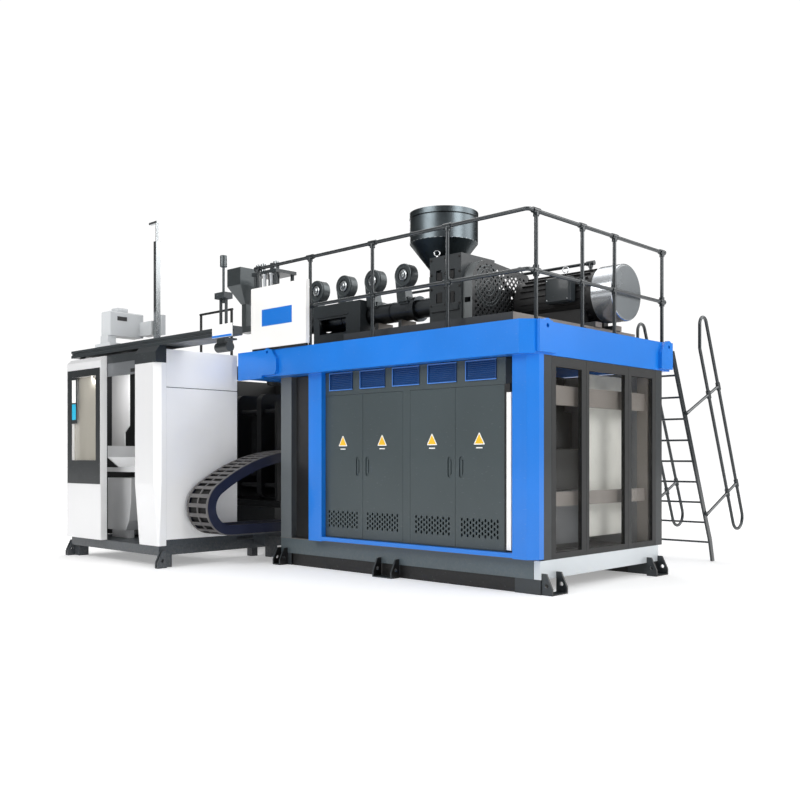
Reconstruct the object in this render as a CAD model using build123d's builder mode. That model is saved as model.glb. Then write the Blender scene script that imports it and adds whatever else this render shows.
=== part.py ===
from build123d import *

import os
from math import cos, degrees, radians, sin

# Extrusion blow moulding machine: a closed main frame with the extruder on its roof, and a mould
# clamping unit on a shuttle beside it. All sizes are in millimetres.
# Frame: +X towards the glazed drive end, +Y towards the back, +Z up, floor at Z = 0.
# Places below count x from the drive end plane and y from the front face of the base sill.
END_X = 3499.0
FRONT_Y = -1775.4

# Welded members and panels stand this far apart, so that each stays a piece of its own.
WELD_GAP = 0.3

# Main frame
BASE_LENGTH = 4080.0
BASE_DEPTH = 2420.0
SILL_BOTTOM = 152.0
SILL_TOP = 341.0
SILL_WIDTH = 150.0
FLOOR_PLATE = 6.0
BEAM_BOTTOM = 2420.0
BEAM_TOP = 2762.0
BEAM_WIDTH = 200.0
BEAM_LENGTH = 4650.0
BEAM_FRONT = -220.0
BEAM_BACK = 2695.0
CORNER_CHAMFER = 110.0
LUG_PLATE = 45.0
DECK_PLATE = 20.0

# Blue front frame, which stands ahead of the base
FRAME_FRONT = -117.0
FRAME_BOTTOM = 355.0
RIGHT_POST = (-267.0, 0.0)
LEFT_POST = (-3400.0, -3160.0)
JAMB_BACK = 54.0

# Electrical cabinet
CABINET_X = (-3159.5, -400.0)
CABINET_Z = (412.0, 2415.0)
CABINET_FRONT = -50.0
CABINET_BACK = 570.0
CABINET_SHEET = 20.0
DOOR_SPANS = ((-3149.0, -2505.5), (-2501.5, -1853.0), (-1737.0, -1077.0), (-1073.0, -415.0))
DOOR_Z = (421.0, 2134.0)
DOOR_GAP = 3.0
VENT_SPANS = ((-3101.0, -2590.0), (-2432.0, -1925.0), (-1661.0, -1153.0), (-998.0, -490.0))
VENT_BOTTOM = 552.0
VENT_COLUMNS = 7
VENT_ROWS = 7
VENT_ROW_STEP = 28.0
VENT_SIZE = (26.0, 42.0)
HANDLE_X = (-2588.0, -2425.0, -1154.0, -991.0)
HANDLE_Z = 1277.0
HANDLE_POCKET = (229.0, 60.0, 12.0)
LOUVRE_SPANS = (
    (-3070.0, -2673.0), (-2534.0, -2131.0), (-2001.0, -1596.0), (-1460.0, -1055.0), (-919.0, -516.0),
)
LOUVRE_Z = (2200.0, 2404.0)
LOUVRE_SLATS = 9

# Glazed drive end
END_LEAVES = ((193.0, 838.5), (842.5, 1717.0), (1721.0, 2351.0))
END_GLASS = ((270.0, 751.0), (900.0, 1642.0), (1793.0, 2274.0))
END_LEAF_Z = (SILL_TOP + WELD_GAP, 2415.0)
END_GLASS_Z = (405.0, 2312.0)
END_LEAF = 45.0
END_JAMBS = ((54.3, 190.0), (2354.0, 2504.0))
GLASS = 8.0
INNER_RAILS = ((870.0, 1020.0), (1930.0, 2135.0))

# Guard rail
RAIL_RADIUS = 21.0
FITTING_RADIUS = 31.0
FITTING_LENGTH = 110.0
RAIL_FRONT_Y = -150.0
RAIL_END_X = -50.0
RAIL_REAR_Y = 2550.0
RAIL_TOP_Z = 3860.0
RAIL_MID_Z = 3260.0
RAIL_BEND = 80.0
FRONT_POSTS = (-4370.0, -3330.0, -2240.0, -1100.0)
END_POSTS = (-10.0, 840.0, 1500.0, 2600.0)
REAR_POSTS = (-4330.0, -3250.0, -2130.0, -1010.0)

# Sign board on the guard rail
SIGN_X = (-4390.0, -3300.0)
SIGN_Z = (2790.0, 3580.0)
SIGN_FRONT = -250.0
SIGN_THICKNESS = 60.0

# Extruder on the roof
PLATFORM_X = (-2900.0, -350.0)
PLATFORM_TOP = 2884.0
PLATFORM_Y = (10.0, 2490.0)
RUNNER_LEFT = -4640.0
RUNNER_TOP_Z = 2930.0
SADDLES = (-4600.0, -3375.0, -2950.0)
SCREW_Y = 1200.0
SCREW_Z = 3310.0
BARREL_RADIUS = 125.0
BAND_RADIUS = 134.0
BORE_RADIUS = 75.0
BARREL_END = -5520.0
GEARBOX_LEFT = -2243.0
GEARBOX_RIGHT = -1740.0
GEARBOX_FRONT = 850.0
GEARBOX_BACK = 1500.0
GEARBOX_TOP = 3840.0
BOSS = (120.0, 8.0)
COVER_X = (-4520.0, -3581.0)
COVER_Y = (950.0, 1450.0)
COVER_Z = (RUNNER_TOP_Z + WELD_GAP, 3500.0)
BLOWER_X = (-4590.0, -4025.0, -3460.0, -2895.0)
BLOWER_Z = 3752.0
BLOWER_FRONT = 1060.0
BLOWER_RADIUS = 150.0
BLOWER_DEPTH = 130.0
HOPPER_X = -2317.0
HOPPER_RADIUS = 432.0
HOPPER_TOP = 4460.0
HOPPER_SHOULDER = 4080.0
THROAT_RADIUS = 110.0
THROAT_TOP = 3664.0
HOPPER_SHEET = 6.0

# Belt drive and motor
GUARD_X = (GEARBOX_RIGHT + WELD_GAP, -1600.0)
GUARD_BOTTOM = 2900.0
GUARD_SHEET = 5.0
PULLEY_Z = 3465.0
PULLEY_RADIUS = 255.0
PULLEY_WIDTH = 80.0
MOTOR_Y = 1850.0
MOTOR_Z = 3285.0
MOTOR_PULLEY_RADIUS = 110.0
BELT_THICKNESS = 12.0
MOTOR_X = (-1480.0, -370.0)
MOTOR_RADIUS = 300.0
SHAFT_RADIUS = 40.0
FIN_HEIGHT = 23.0
COWL_END = -90.0
COWL_RADIUS = 330.0

# Die head over the moulds
HEAD_X = -5720.0
HEAD_ARM_END = -6150.0

# Ladder at the back of the drive end
LADDER_X = (-965.0, -117.0)
LADDER_TOP = (3018.0, 2700.0)
LADDER_KNEE = (4077.0, 275.0)
LADDER_FOOT_Y = 4149.0
STRINGER = (26.0, 70.0)
RUNG_RADIUS = 13.0
RUNGS = 9
FIRST_RUNG = 311.0
RUNG_PITCH = 294.7

# Clamping unit
CLAMP_X = (-7050.0, -4800.0)
CLAMP_FRONT = -1370.0
CLAMP_BACK = 2300.0
CLAMP_BEAM_Z = (152.0, 270.0)
CLAMP_BEAM_WIDTH = 120.0
PANEL_Z = (345.0, 2750.0)
PANEL_SEAM = 2270.0
PANEL_Y = (-1260.0, -170.0)
PANEL_SHEET = 30.0
ROOF_Z = (2640.0, 2750.0)
ROOF_RAIL_X = (-5570.0, -4860.0)
ROOF_RAIL_Z = 3376.0
COLUMN_X = (-5285.0, -4800.0)
COLUMN_TOP = 2575.0
COLUMN_KNEE = 1050.0
SAFETY_DOOR_X = (-7000.0, -6060.0)
SAFETY_DOOR_Y = (-1470.0, -1378.0)
SAFETY_DOOR_Z = (280.0, 2745.0)
SAFETY_GLASS_X = (-6853.0, -6180.0)
SAFETY_GLASS_Z = (1345.0, 2490.0)
WINDOW_X = (-6965.0, -6078.0)
WINDOW_Z = (1026.0, 2586.0)
BIN_X = (-6610.0, -5975.0)

# Mould carriage, platens and their chain
CARRIAGE_X = (-6560.0, -4960.0)
CARRIAGE_Y = (600.0, 1800.0)
CARRIAGE_Z = (470.0, 760.0)
PLATEN_Y = (700.0, 1700.0)
PLATEN_Z = (800.0, 2315.0)
PLATEN_THICKNESS = 110.0
PLATEN_FACES = (-5940.0, -5500.0)
MOULD_DEPTH = 110.0
TIE_BAR_RADIUS = 35.0
TIE_BARS = [
    (y, z) for y in (PLATEN_Y[0] + 90, PLATEN_Y[1] - 90) for z in (PLATEN_Z[0] + 180, PLATEN_Z[1] - 260)
]
RUNNERS = (-6420.0, -5200.0)
RUNNER_START = -300.0
RUNNER_TOP = 400.0
CHAIN_X = (-4740.0, -4290.0)
CHAIN_HEIGHT = 132.0
CHAIN_PLATE = 24.0
CHAIN_BEND = (-645.0, 749.0)
CHAIN_RADIUS = 290.0
CHAIN_TURN = 145.0
CHAIN_RISE = 2400.0
CHAIN_UPPER_END = 1400.0
CHAIN_LOWER_END = 700.0
CHAIN_PITCH = 105.0
CHAIN_BAR = (54.0, 12.0)

# Transfer gear over the clamping unit
GUIDE_X = (-7120.0, -3300.0)
GUIDE_Y = (-1345.0, -1205.0)
GUIDE_Z = (2790.0, 2890.0)
HOUSING_X = (-6350.0, -6107.0)
HOUSING_Y = (-1300.0, -800.0)
HOUSING_Z = (3040.0, 3370.0)
MAST_X = -5758.0
MAST_Y = -800.0
MAST_Z = (2900.0, 4330.0)
MAST_TIP_Z = 4580.0
MAST_HALF = (32.0, 34.0)
PIN_X = -3570.0
PIN_BLOCK_Z = (3230.0, 3300.0)
PIN_RADIUS = 24.0


def spot(x, y, z=0.0):
    """A place given by its distances from the drive end plane and from the base's front face."""
    return (END_X + x, FRONT_Y + y, z)


def block(x, y, z, mode=Mode.ADD):
    """A straight block between two corners, each direction given as (from, to)."""
    with Locations(spot(sum(x) / 2, sum(y) / 2, sum(z) / 2)):
        Box(x[1] - x[0], y[1] - y[0], z[1] - z[0], mode=mode)


def rod(start, end, radius, mode=Mode.ADD):
    """A round bar from one spot to another."""
    bottom = Vector(*spot(*start))
    top = Vector(*spot(*end))
    with BuildSketch(Plane(origin=bottom, z_dir=top - bottom)) as section:
        Circle(radius)
    extrude(section.sketch, amount=(top - bottom).length, mode=mode)


def front_plane(y):
    """Upright plane that looks towards the front: its x runs along X and its y runs up."""
    return Plane(origin=spot(0, y), x_dir=(1, 0, 0), z_dir=(0, -1, 0))


def end_plane(x):
    """Upright plane that looks towards the drive end: its x runs along Y and its y runs up."""
    return Plane(origin=spot(x, 0), x_dir=(0, 1, 0), z_dir=(1, 0, 0))


def lug_pair(x, y, outward, spacing):
    """A foot: two upright lugs with a lifting hole each, on one sole. Outward is where they stick out."""
    out = Vector(*outward)
    plane = Plane(origin=spot(x, y), x_dir=out, z_dir=out.cross(Vector(0, 0, 1)))
    for distance in (0, spacing):
        with BuildSketch(plane.offset(distance)) as lug:
            with BuildLine():
                Polyline((0, 0), (128, 0), (128, 70), (57, 216), (0, 216), close=True)
            make_face()
            with Locations((62, 95)):
                Circle(22, mode=Mode.SUBTRACT)
        extrude(lug.sketch, amount=22)
    with BuildSketch(plane) as sole:
        with Locations((64, 6)):
            Rectangle(128, 12)
    extrude(sole.sketch, amount=spacing)


# Base: long sills, cross members and the bright end sill
END_SILL = 90.0
CROSS_MEMBERS = (-BASE_LENGTH, -2775.0, -1435.0)
with BuildPart() as base_frame:
    sill_x = (-BASE_LENGTH, -END_SILL - WELD_GAP)
    for near in (0.0, BASE_DEPTH - SILL_WIDTH):
        block(sill_x, (near, near + SILL_WIDTH), (SILL_BOTTOM, SILL_TOP))
    cross_y = (SILL_WIDTH + WELD_GAP, BASE_DEPTH - SILL_WIDTH - WELD_GAP)
    for left in CROSS_MEMBERS:
        block((left, left + SILL_WIDTH), cross_y, (SILL_BOTTOM, SILL_TOP))

with BuildPart() as end_sill:
    block((-END_SILL, 0), (0, BASE_DEPTH), (SILL_BOTTOM, SILL_TOP))
    chamfer(end_sill.edges().filter_by(Axis.Z), 8)

with BuildPart() as skid_rails:
    for near in (20.0, BASE_DEPTH - SILL_WIDTH + 10):
        block((-3860, -330), (near, near + 130), (0, SILL_BOTTOM))

# Feet of the main frame, with the pads under the sills
FOOT_OUT_FRONT = (0, -1, 0)
FOOT_OUT_BACK = (0, 1, 0)
FOOT_OUT_END = (1, 0, 0)
with BuildPart() as machine_feet:
    for foot_x in (-3945.0, -1955.0):
        lug_pair(foot_x, 0, FOOT_OUT_FRONT, 290 if foot_x > -3000 else 130)
    for foot_x in (-4080.0, -2250.0):
        lug_pair(foot_x, BASE_DEPTH, FOOT_OUT_BACK, 290 if foot_x > -3000 else 130)
    for foot_y in (295.0, BASE_DEPTH):
        lug_pair(0, foot_y, FOOT_OUT_END, 260)
    for near in (0.0, BASE_DEPTH - SILL_WIDTH):
        block((-320, 0), (near, near + SILL_WIDTH), (0, SILL_BOTTOM))
        block((-4080, -3870), (near, near + SILL_WIDTH), (0, SILL_BOTTOM))

# Floor inside the frame and the deck under the extruder
with BuildPart() as floor_plates:
    block((-BASE_LENGTH, -END_SILL), (0, BASE_DEPTH), (SILL_TOP, SILL_TOP + FLOOR_PLATE))
    deck_x = (-BEAM_LENGTH + BEAM_WIDTH + WELD_GAP, -BEAM_WIDTH - WELD_GAP)
    deck_y = (BEAM_FRONT + BEAM_WIDTH + WELD_GAP, BEAM_BACK - BEAM_WIDTH - WELD_GAP)
    block(deck_x, deck_y, (BEAM_TOP - DECK_PLATE, BEAM_TOP))

# Blue front frame: two posts and the bar under the cabinet doors
with BuildPart() as front_frame:
    with BuildSketch(Plane.XY.offset(FRAME_BOTTOM)):
        with BuildLine():
            Polyline(
                spot(RIGHT_POST[0], FRAME_FRONT)[:2],
                spot(RIGHT_POST[1] - 90, FRAME_FRONT)[:2],
                spot(RIGHT_POST[1], FRAME_FRONT + 90)[:2],
                spot(RIGHT_POST[1], JAMB_BACK)[:2],
                spot(RIGHT_POST[0], JAMB_BACK)[:2],
                close=True,
            )
        make_face()
    extrude(amount=BEAM_BOTTOM - FRAME_BOTTOM)
    block(LEFT_POST, (FRAME_FRONT, 0), (FRAME_BOTTOM, BEAM_BOTTOM))
    block((LEFT_POST[1] + WELD_GAP, RIGHT_POST[0] - WELD_GAP), (FRAME_FRONT, -20), (363, 410))

# Ring of blue beams round the roof; the front beam has a bevelled corner towards the drive end
with BuildPart() as top_beams:
    block((-BEAM_LENGTH, 0), (BEAM_FRONT, BEAM_FRONT + BEAM_WIDTH), (BEAM_BOTTOM, BEAM_TOP))
    corner = top_beams.edges().filter_by(Axis.Z).sort_by(Axis.X)[-2:].sort_by(Axis.Y)[0]
    chamfer(corner, CORNER_CHAMFER)
    side_y = (deck_y[0], BEAM_BACK - BEAM_WIDTH - WELD_GAP)
    block((-BEAM_WIDTH, 0), side_y, (BEAM_BOTTOM, BEAM_TOP))
    block((-BEAM_LENGTH, -BEAM_LENGTH + BEAM_WIDTH), side_y, (BEAM_BOTTOM, BEAM_TOP))
    block((-BEAM_LENGTH, 0), (BEAM_BACK - BEAM_WIDTH, BEAM_BACK), (BEAM_BOTTOM, BEAM_TOP))

    # Lifting plates, proud of the beams, each with a bored ear
    with BuildSketch(front_plane(BEAM_FRONT)):
        with BuildLine():
            Polyline(
                (-BEAM_LENGTH, 2400), (-4150, 2400), (-4150, 2440), (-3900, 2440), (-3860, 2480),
                (-3860, 2640), (-3960, BEAM_TOP), (-BEAM_LENGTH, BEAM_TOP), close=True,
            )
        make_face()
        with Locations((-4040, BEAM_TOP - 32)):
            Circle(52)
            Circle(20, mode=Mode.SUBTRACT)
    extrude(amount=LUG_PLATE)
    for hole_y, inner_y, outer_y in ((60.0, 230.0, -80.0), (2600.0, 2420.0, BEAM_BACK)):
        with BuildSketch(end_plane(0)):
            with BuildLine():
                Polyline(
                    (outer_y, 2440), (inner_y, 2440), (inner_y, 2640), ((inner_y + hole_y) / 2, BEAM_TOP),
                    (outer_y, BEAM_TOP), close=True,
                )
            make_face()
            with Locations((hole_y, BEAM_TOP - 55)):
                Circle(75)
                Circle(22, mode=Mode.SUBTRACT)
        extrude(amount=LUG_PLATE)

# Grey posts, the dark side sheet left of the cabinet, jambs and rails behind the glazed doors
member_z = (SILL_TOP + FLOOR_PLATE, BEAM_BOTTOM)
with BuildPart() as frame_members:
    block((-4080, -3870), (0, 210), member_z)
    block((-3840, -3420), (60, 90), member_z)
    for left, right in ((-4080, -3930), (-2300, -2150), (-200, -62)):
        block((left, right), (BASE_DEPTH - SILL_WIDTH, BASE_DEPTH), member_z)
    for jamb in END_JAMBS:
        block((-60, 0), jamb, (END_LEAF_Z[0], BEAM_BOTTOM))
    for rail_z in INNER_RAILS:
        block((-150, -100), (60, BASE_DEPTH - SILL_WIDTH - WELD_GAP), rail_z)

# Electrical cabinet: folded shell, open at the front, with a plinth, a header and a mullion
with BuildPart() as cabinet_shell:
    block(CABINET_X, (CABINET_FRONT + CABINET_SHEET, CABINET_BACK), CABINET_Z)
    offset(amount=-CABINET_SHEET, openings=cabinet_shell.faces().sort_by(Axis.Y)[0])
    block((CABINET_X[0] + 40, CABINET_X[1] - 40), (20, CABINET_BACK - 20), (member_z[0], CABINET_Z[0]))
    with BuildSketch(front_plane(CABINET_FRONT)):
        with Locations((sum(CABINET_X) / 2, sum(CABINET_Z) / 2)):
            Rectangle(CABINET_X[1] - CABINET_X[0], CABINET_Z[1] - CABINET_Z[0])
        for pair in (DOOR_SPANS[:2], DOOR_SPANS[2:]):
            left, right = pair[0][0] - DOOR_GAP, pair[1][1] + DOOR_GAP
            with Locations(((left + right) / 2, sum(DOOR_Z) / 2)):
                Rectangle(right - left, DOOR_Z[1] - DOOR_Z[0] + 2 * DOOR_GAP, mode=Mode.SUBTRACT)
    extrude(amount=-CABINET_SHEET)

# Blue louvres in the header, each a frame with sloping slats
LOUVRE_PROUD = 14.0
slat_step = (LOUVRE_Z[1] - LOUVRE_Z[0] - 16) / LOUVRE_SLATS
with BuildPart() as louvre_vents:
    for left, right in LOUVRE_SPANS:
        with BuildSketch(front_plane(CABINET_FRONT)):
            with Locations(((left + right) / 2, sum(LOUVRE_Z) / 2)):
                Rectangle(right - left, LOUVRE_Z[1] - LOUVRE_Z[0])
                Rectangle(right - left - 16, LOUVRE_Z[1] - LOUVRE_Z[0] - 16, mode=Mode.SUBTRACT)
        extrude(amount=LOUVRE_PROUD)
        block((left + 4, right - 4), (CABINET_FRONT - 2, CABINET_FRONT), (LOUVRE_Z[0] + 4, LOUVRE_Z[1] - 4))
        with BuildSketch(end_plane(left + 7)):
            for slat in range(LOUVRE_SLATS):
                bottom = LOUVRE_Z[0] + 8 + slat * slat_step
                with BuildLine():
                    Polyline(
                        (CABINET_FRONT - 1, bottom + slat_step - 3), (CABINET_FRONT - 12, bottom + 3),
                        (CABINET_FRONT - 1, bottom + 3), close=True,
                    )
                make_face()
        extrude(amount=right - left - 14)


def vent_places(span):
    """Middles of the staggered vent holes between the two ends of a span."""
    step = (span[1] - span[0] - VENT_SIZE[0]) / (VENT_COLUMNS - 1)
    places = []
    for row in range(VENT_ROWS):
        shift = step / 2 * (row % 2)
        for column in range(VENT_COLUMNS - row % 2):
            across = span[0] + VENT_SIZE[0] / 2 + shift + column * step
            places.append((across, VENT_BOTTOM + row * VENT_ROW_STEP))
    return places


def cabinet_door(span, vents, handle_x):
    """A vented door leaf with a pull handle sunk into its face."""
    half_width, half_height = VENT_SIZE[0] / 2, VENT_SIZE[1] / 2
    with BuildPart() as leaf:
        with BuildSketch(front_plane(CABINET_FRONT)):
            with Locations((sum(span) / 2, sum(DOOR_Z) / 2)):
                Rectangle(span[1] - span[0], DOOR_Z[1] - DOOR_Z[0])
            with Locations(*vent_places(vents)):
                Polygon(
                    (0, half_height), (-half_width, half_height / 2), (-half_width, -half_height / 2),
                    (0, -half_height), (half_width, -half_height / 2), (half_width, half_height / 2),
                    mode=Mode.SUBTRACT,
                )
        extrude(amount=-CABINET_SHEET)
        length, width, depth = HANDLE_POCKET
        with BuildSketch(front_plane(CABINET_FRONT)):
            with Locations((handle_x, HANDLE_Z)):
                SlotOverall(length, width, rotation=90)
        extrude(amount=-depth, mode=Mode.SUBTRACT)
        with BuildSketch(front_plane(CABINET_FRONT + depth)):
            with Locations((handle_x, HANDLE_Z)):
                SlotOverall(length * 0.7, width * 0.4, rotation=90)
        extrude(amount=depth - 2)
    return leaf


cabinet_doors = [cabinet_door(*sizes) for sizes in zip(DOOR_SPANS, VENT_SPANS, HANDLE_X)]


def end_door(leaf_y, glass_y):
    """One framed leaf of the glazed end and its pane."""
    with BuildPart() as leaf:
        with BuildSketch(end_plane(0)):
            with Locations((sum(leaf_y) / 2, sum(END_LEAF_Z) / 2)):
                Rectangle(leaf_y[1] - leaf_y[0], END_LEAF_Z[1] - END_LEAF_Z[0])
            with Locations((sum(glass_y) / 2, sum(END_GLASS_Z) / 2)):
                Rectangle(glass_y[1] - glass_y[0], END_GLASS_Z[1] - END_GLASS_Z[0], mode=Mode.SUBTRACT)
        extrude(amount=-END_LEAF)
    with BuildPart() as pane:
        with BuildSketch(end_plane(-END_LEAF / 2)):
            with Locations((sum(glass_y) / 2, sum(END_GLASS_Z) / 2)):
                Rectangle(
                    glass_y[1] - glass_y[0] - 2 * WELD_GAP, END_GLASS_Z[1] - END_GLASS_Z[0] - 2 * WELD_GAP
                )
        extrude(amount=GLASS)
    return leaf, pane


end_doors = [end_door(*sizes) for sizes in zip(END_LEAVES, END_GLASS)]


def fitting(x, y, z, along):
    """Tube clamp where a rail runs through a post: a sleeve along the rail and a collar on the post."""
    half = FITTING_LENGTH / 2
    step = (half, 0, 0) if along == "x" else (0, half, 0)
    rod((x - step[0], y - step[1], z), (x + step[0], y + step[1], z), FITTING_RADIUS)
    rod((x, y, z - half), (x, y, z + (half if z < RAIL_TOP_Z else 0)), FITTING_RADIUS)


def guard_post(x, y, along):
    """One post on the roof beam with its foot flange and its two rail clamps."""
    rod((x, y, BEAM_TOP), (x, y, RAIL_TOP_Z), RAIL_RADIUS)
    rod((x, y, BEAM_TOP), (x, y, BEAM_TOP + 12), 2 * RAIL_RADIUS)
    for rail_z in (RAIL_MID_Z, RAIL_TOP_Z):
        fitting(x, y, rail_z, along)


with BuildPart() as guard_posts:
    for post_x in FRONT_POSTS:
        guard_post(post_x, RAIL_FRONT_Y, "x")
    for post_y in END_POSTS:
        guard_post(RAIL_END_X, post_y, "y")
    for post_x in REAR_POSTS:
        guard_post(post_x, RAIL_REAR_Y, "x")


def rail_run(stops, place):
    """Rail tubes between neighbouring clamps. Place turns a distance into a spot on the rail's line."""
    half = FITTING_LENGTH / 2
    for start, end in zip(stops, stops[1:]):
        rod(place(start + half), place(end - half), RAIL_RADIUS)


with BuildPart() as guard_rails:
    for rail_z in (RAIL_MID_Z, RAIL_TOP_Z):
        rail_run(FRONT_POSTS, lambda x: (x, RAIL_FRONT_Y, rail_z))
        rail_run(END_POSTS, lambda y: (RAIL_END_X, y, rail_z))
        rail_run(REAR_POSTS, lambda x: (x, RAIL_REAR_Y, rail_z))
        half = FITTING_LENGTH / 2
        with BuildLine() as bend:
            FilletPolyline(
                spot(FRONT_POSTS[-1] + half, RAIL_FRONT_Y, rail_z),
                spot(RAIL_END_X, RAIL_FRONT_Y, rail_z),
                spot(RAIL_END_X, END_POSTS[0] - half, rail_z),
                radius=RAIL_BEND / 2,
            )
        with BuildSketch(Plane(origin=bend.line @ 0, z_dir=bend.line % 0)) as section:
            Circle(RAIL_RADIUS)
        sweep(section.sketch, path=bend.line)

# White board on the guard rail, held off the posts by four studs
with BuildPart() as sign_board:
    block(SIGN_X, (SIGN_FRONT, SIGN_FRONT + SIGN_THICKNESS), SIGN_Z)
    fillet(sign_board.edges().filter_by(Axis.Y), 12)
    for post_x in FRONT_POSTS[:2]:
        for stud_z in (SIGN_Z[0] + 90, SIGN_Z[1] - 90):
            stud_end = RAIL_FRONT_Y - RAIL_RADIUS
            rod((post_x, SIGN_FRONT + SIGN_THICKNESS, stud_z), (post_x, stud_end, stud_z), 14)

# Extruder bed: a platform of beams under the drive, rails under the motor, and two runners with saddles
# under the barrel
PLATFORM_SILL = 200.0
CROSS_BEAMS = ((-2900.0, -2750.0), (-1850.0, -1400.0))
with BuildPart() as extruder_bed:
    platform_z = (BEAM_TOP, PLATFORM_TOP)
    end_beam = (PLATFORM_X[1] - 150, PLATFORM_X[1])
    block(end_beam, PLATFORM_Y, platform_z)
    sill_ends = (PLATFORM_Y[0] + PLATFORM_SILL, PLATFORM_Y[1] - PLATFORM_SILL)
    sill_x = (PLATFORM_X[0], end_beam[0] - WELD_GAP)
    block(sill_x, (PLATFORM_Y[0], sill_ends[0]), platform_z)
    block(sill_x, (sill_ends[1], PLATFORM_Y[1]), platform_z)
    for beam_x in CROSS_BEAMS:
        block(beam_x, (sill_ends[0] + WELD_GAP, sill_ends[1] - WELD_GAP), platform_z)
    between = (CROSS_BEAMS[0][1] + WELD_GAP, CROSS_BEAMS[1][0] - WELD_GAP)
    for near in (GEARBOX_FRONT, GEARBOX_BACK - 160):
        block(between, (near, near + 160), platform_z)
    for near in (MOTOR_Y - 290, MOTOR_Y + 150):
        block((MOTOR_X[0] + 20, MOTOR_X[1] + 40), (near, near + 140), (PLATFORM_TOP + WELD_GAP, PLATFORM_TOP + 60))
    for near in (SCREW_Y - 260, SCREW_Y + 140):
        block((RUNNER_LEFT, PLATFORM_X[0] - WELD_GAP), (near, near + 120), (BEAM_TOP, RUNNER_TOP_Z))
    for saddle_x in SADDLES:
        saddle_y = (SCREW_Y - 140 + WELD_GAP, SCREW_Y + 140 - WELD_GAP)
        block((saddle_x - 30, saddle_x + 30), saddle_y, (BEAM_TOP, SCREW_Z - BAND_RADIUS - WELD_GAP))
    # Arms that carry the die head out over the moulds
    for near in (SCREW_Y - 420, SCREW_Y + 320):
        block((HEAD_ARM_END, -BEAM_LENGTH - WELD_GAP), (near, near + 100), (2560, BEAM_TOP))
        foot_z = (BEAM_BOTTOM + 20, 2560 - WELD_GAP)
        block((-BEAM_LENGTH - 60, -BEAM_LENGTH - WELD_GAP), (near - 60, near + 160), foot_z)
    for left in (HEAD_ARM_END, -5400):
        block((left, left + 80), (SCREW_Y - 320 + WELD_GAP, SCREW_Y + 320 - WELD_GAP), (2620, 2740))

# Barrel with its flanges and bore, the core of the screw inside, and the heater bands round it
with BuildPart() as barrel:
    rod((BARREL_END, SCREW_Y, SCREW_Z), (GEARBOX_LEFT - WELD_GAP, SCREW_Y, SCREW_Z), BARREL_RADIUS)
    for flange_x, flange_radius in ((-2740.0, 165.0), (-5480.0, 190.0)):
        rod((flange_x - 30, SCREW_Y, SCREW_Z), (flange_x + 30, SCREW_Y, SCREW_Z), flange_radius)
    rod((BARREL_END, SCREW_Y, SCREW_Z), (GEARBOX_LEFT, SCREW_Y, SCREW_Z), BORE_RADIUS, Mode.SUBTRACT)

with BuildPart() as extruder_screw:
    with BuildSketch(front_plane(SCREW_Y)):
        with BuildLine():
            Polyline(
                (BARREL_END + 90, SCREW_Z), (BARREL_END + 150, SCREW_Z + 58), (-3900, SCREW_Z + 58),
                (-3300, SCREW_Z + 46), (GEARBOX_LEFT - 60, SCREW_Z + 46),
                (GEARBOX_LEFT - 60, SCREW_Z + BORE_RADIUS - 0.5),
                (GEARBOX_LEFT - 10, SCREW_Z + BORE_RADIUS - 0.5), (GEARBOX_LEFT - 10, SCREW_Z), close=True,
            )
        make_face()
    revolve(axis=Axis(spot(0, SCREW_Y, SCREW_Z), (1, 0, 0)))

BAND_SPANS = ((-5380.0, -4900.0), (-4850.0, -4540.0), (-4500.0, -4080.0), (-4040.0, -3610.0), (-3560.0, -3160.0),
              (-3120.0, -2785.0))
with BuildPart() as heater_bands:
    for left, right in BAND_SPANS:
        rod((left, SCREW_Y, SCREW_Z), (right, SCREW_Y, SCREW_Z), BAND_RADIUS)
        rod((left, SCREW_Y, SCREW_Z), (right, SCREW_Y, SCREW_Z), BARREL_RADIUS + WELD_GAP, Mode.SUBTRACT)

# Dark cover over the middle of the barrel, with a window in its front
COVER_SHEET = 12.0
with BuildPart() as barrel_cover:
    block(COVER_X, COVER_Y, COVER_Z)
    offset(amount=-COVER_SHEET, openings=barrel_cover.faces().sort_by(Axis.Z)[0])
    rod((COVER_X[0], SCREW_Y, SCREW_Z), (COVER_X[1], SCREW_Y, SCREW_Z), BAND_RADIUS + 12, Mode.SUBTRACT)
    block((-4400, -3860), (COVER_Y[0] - 1, COVER_Y[0] + COVER_SHEET), (3095, 3300), Mode.SUBTRACT)
    block((-4440, -3820), (COVER_Y[0] - 14, COVER_Y[0]), (3330, 3350))

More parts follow.
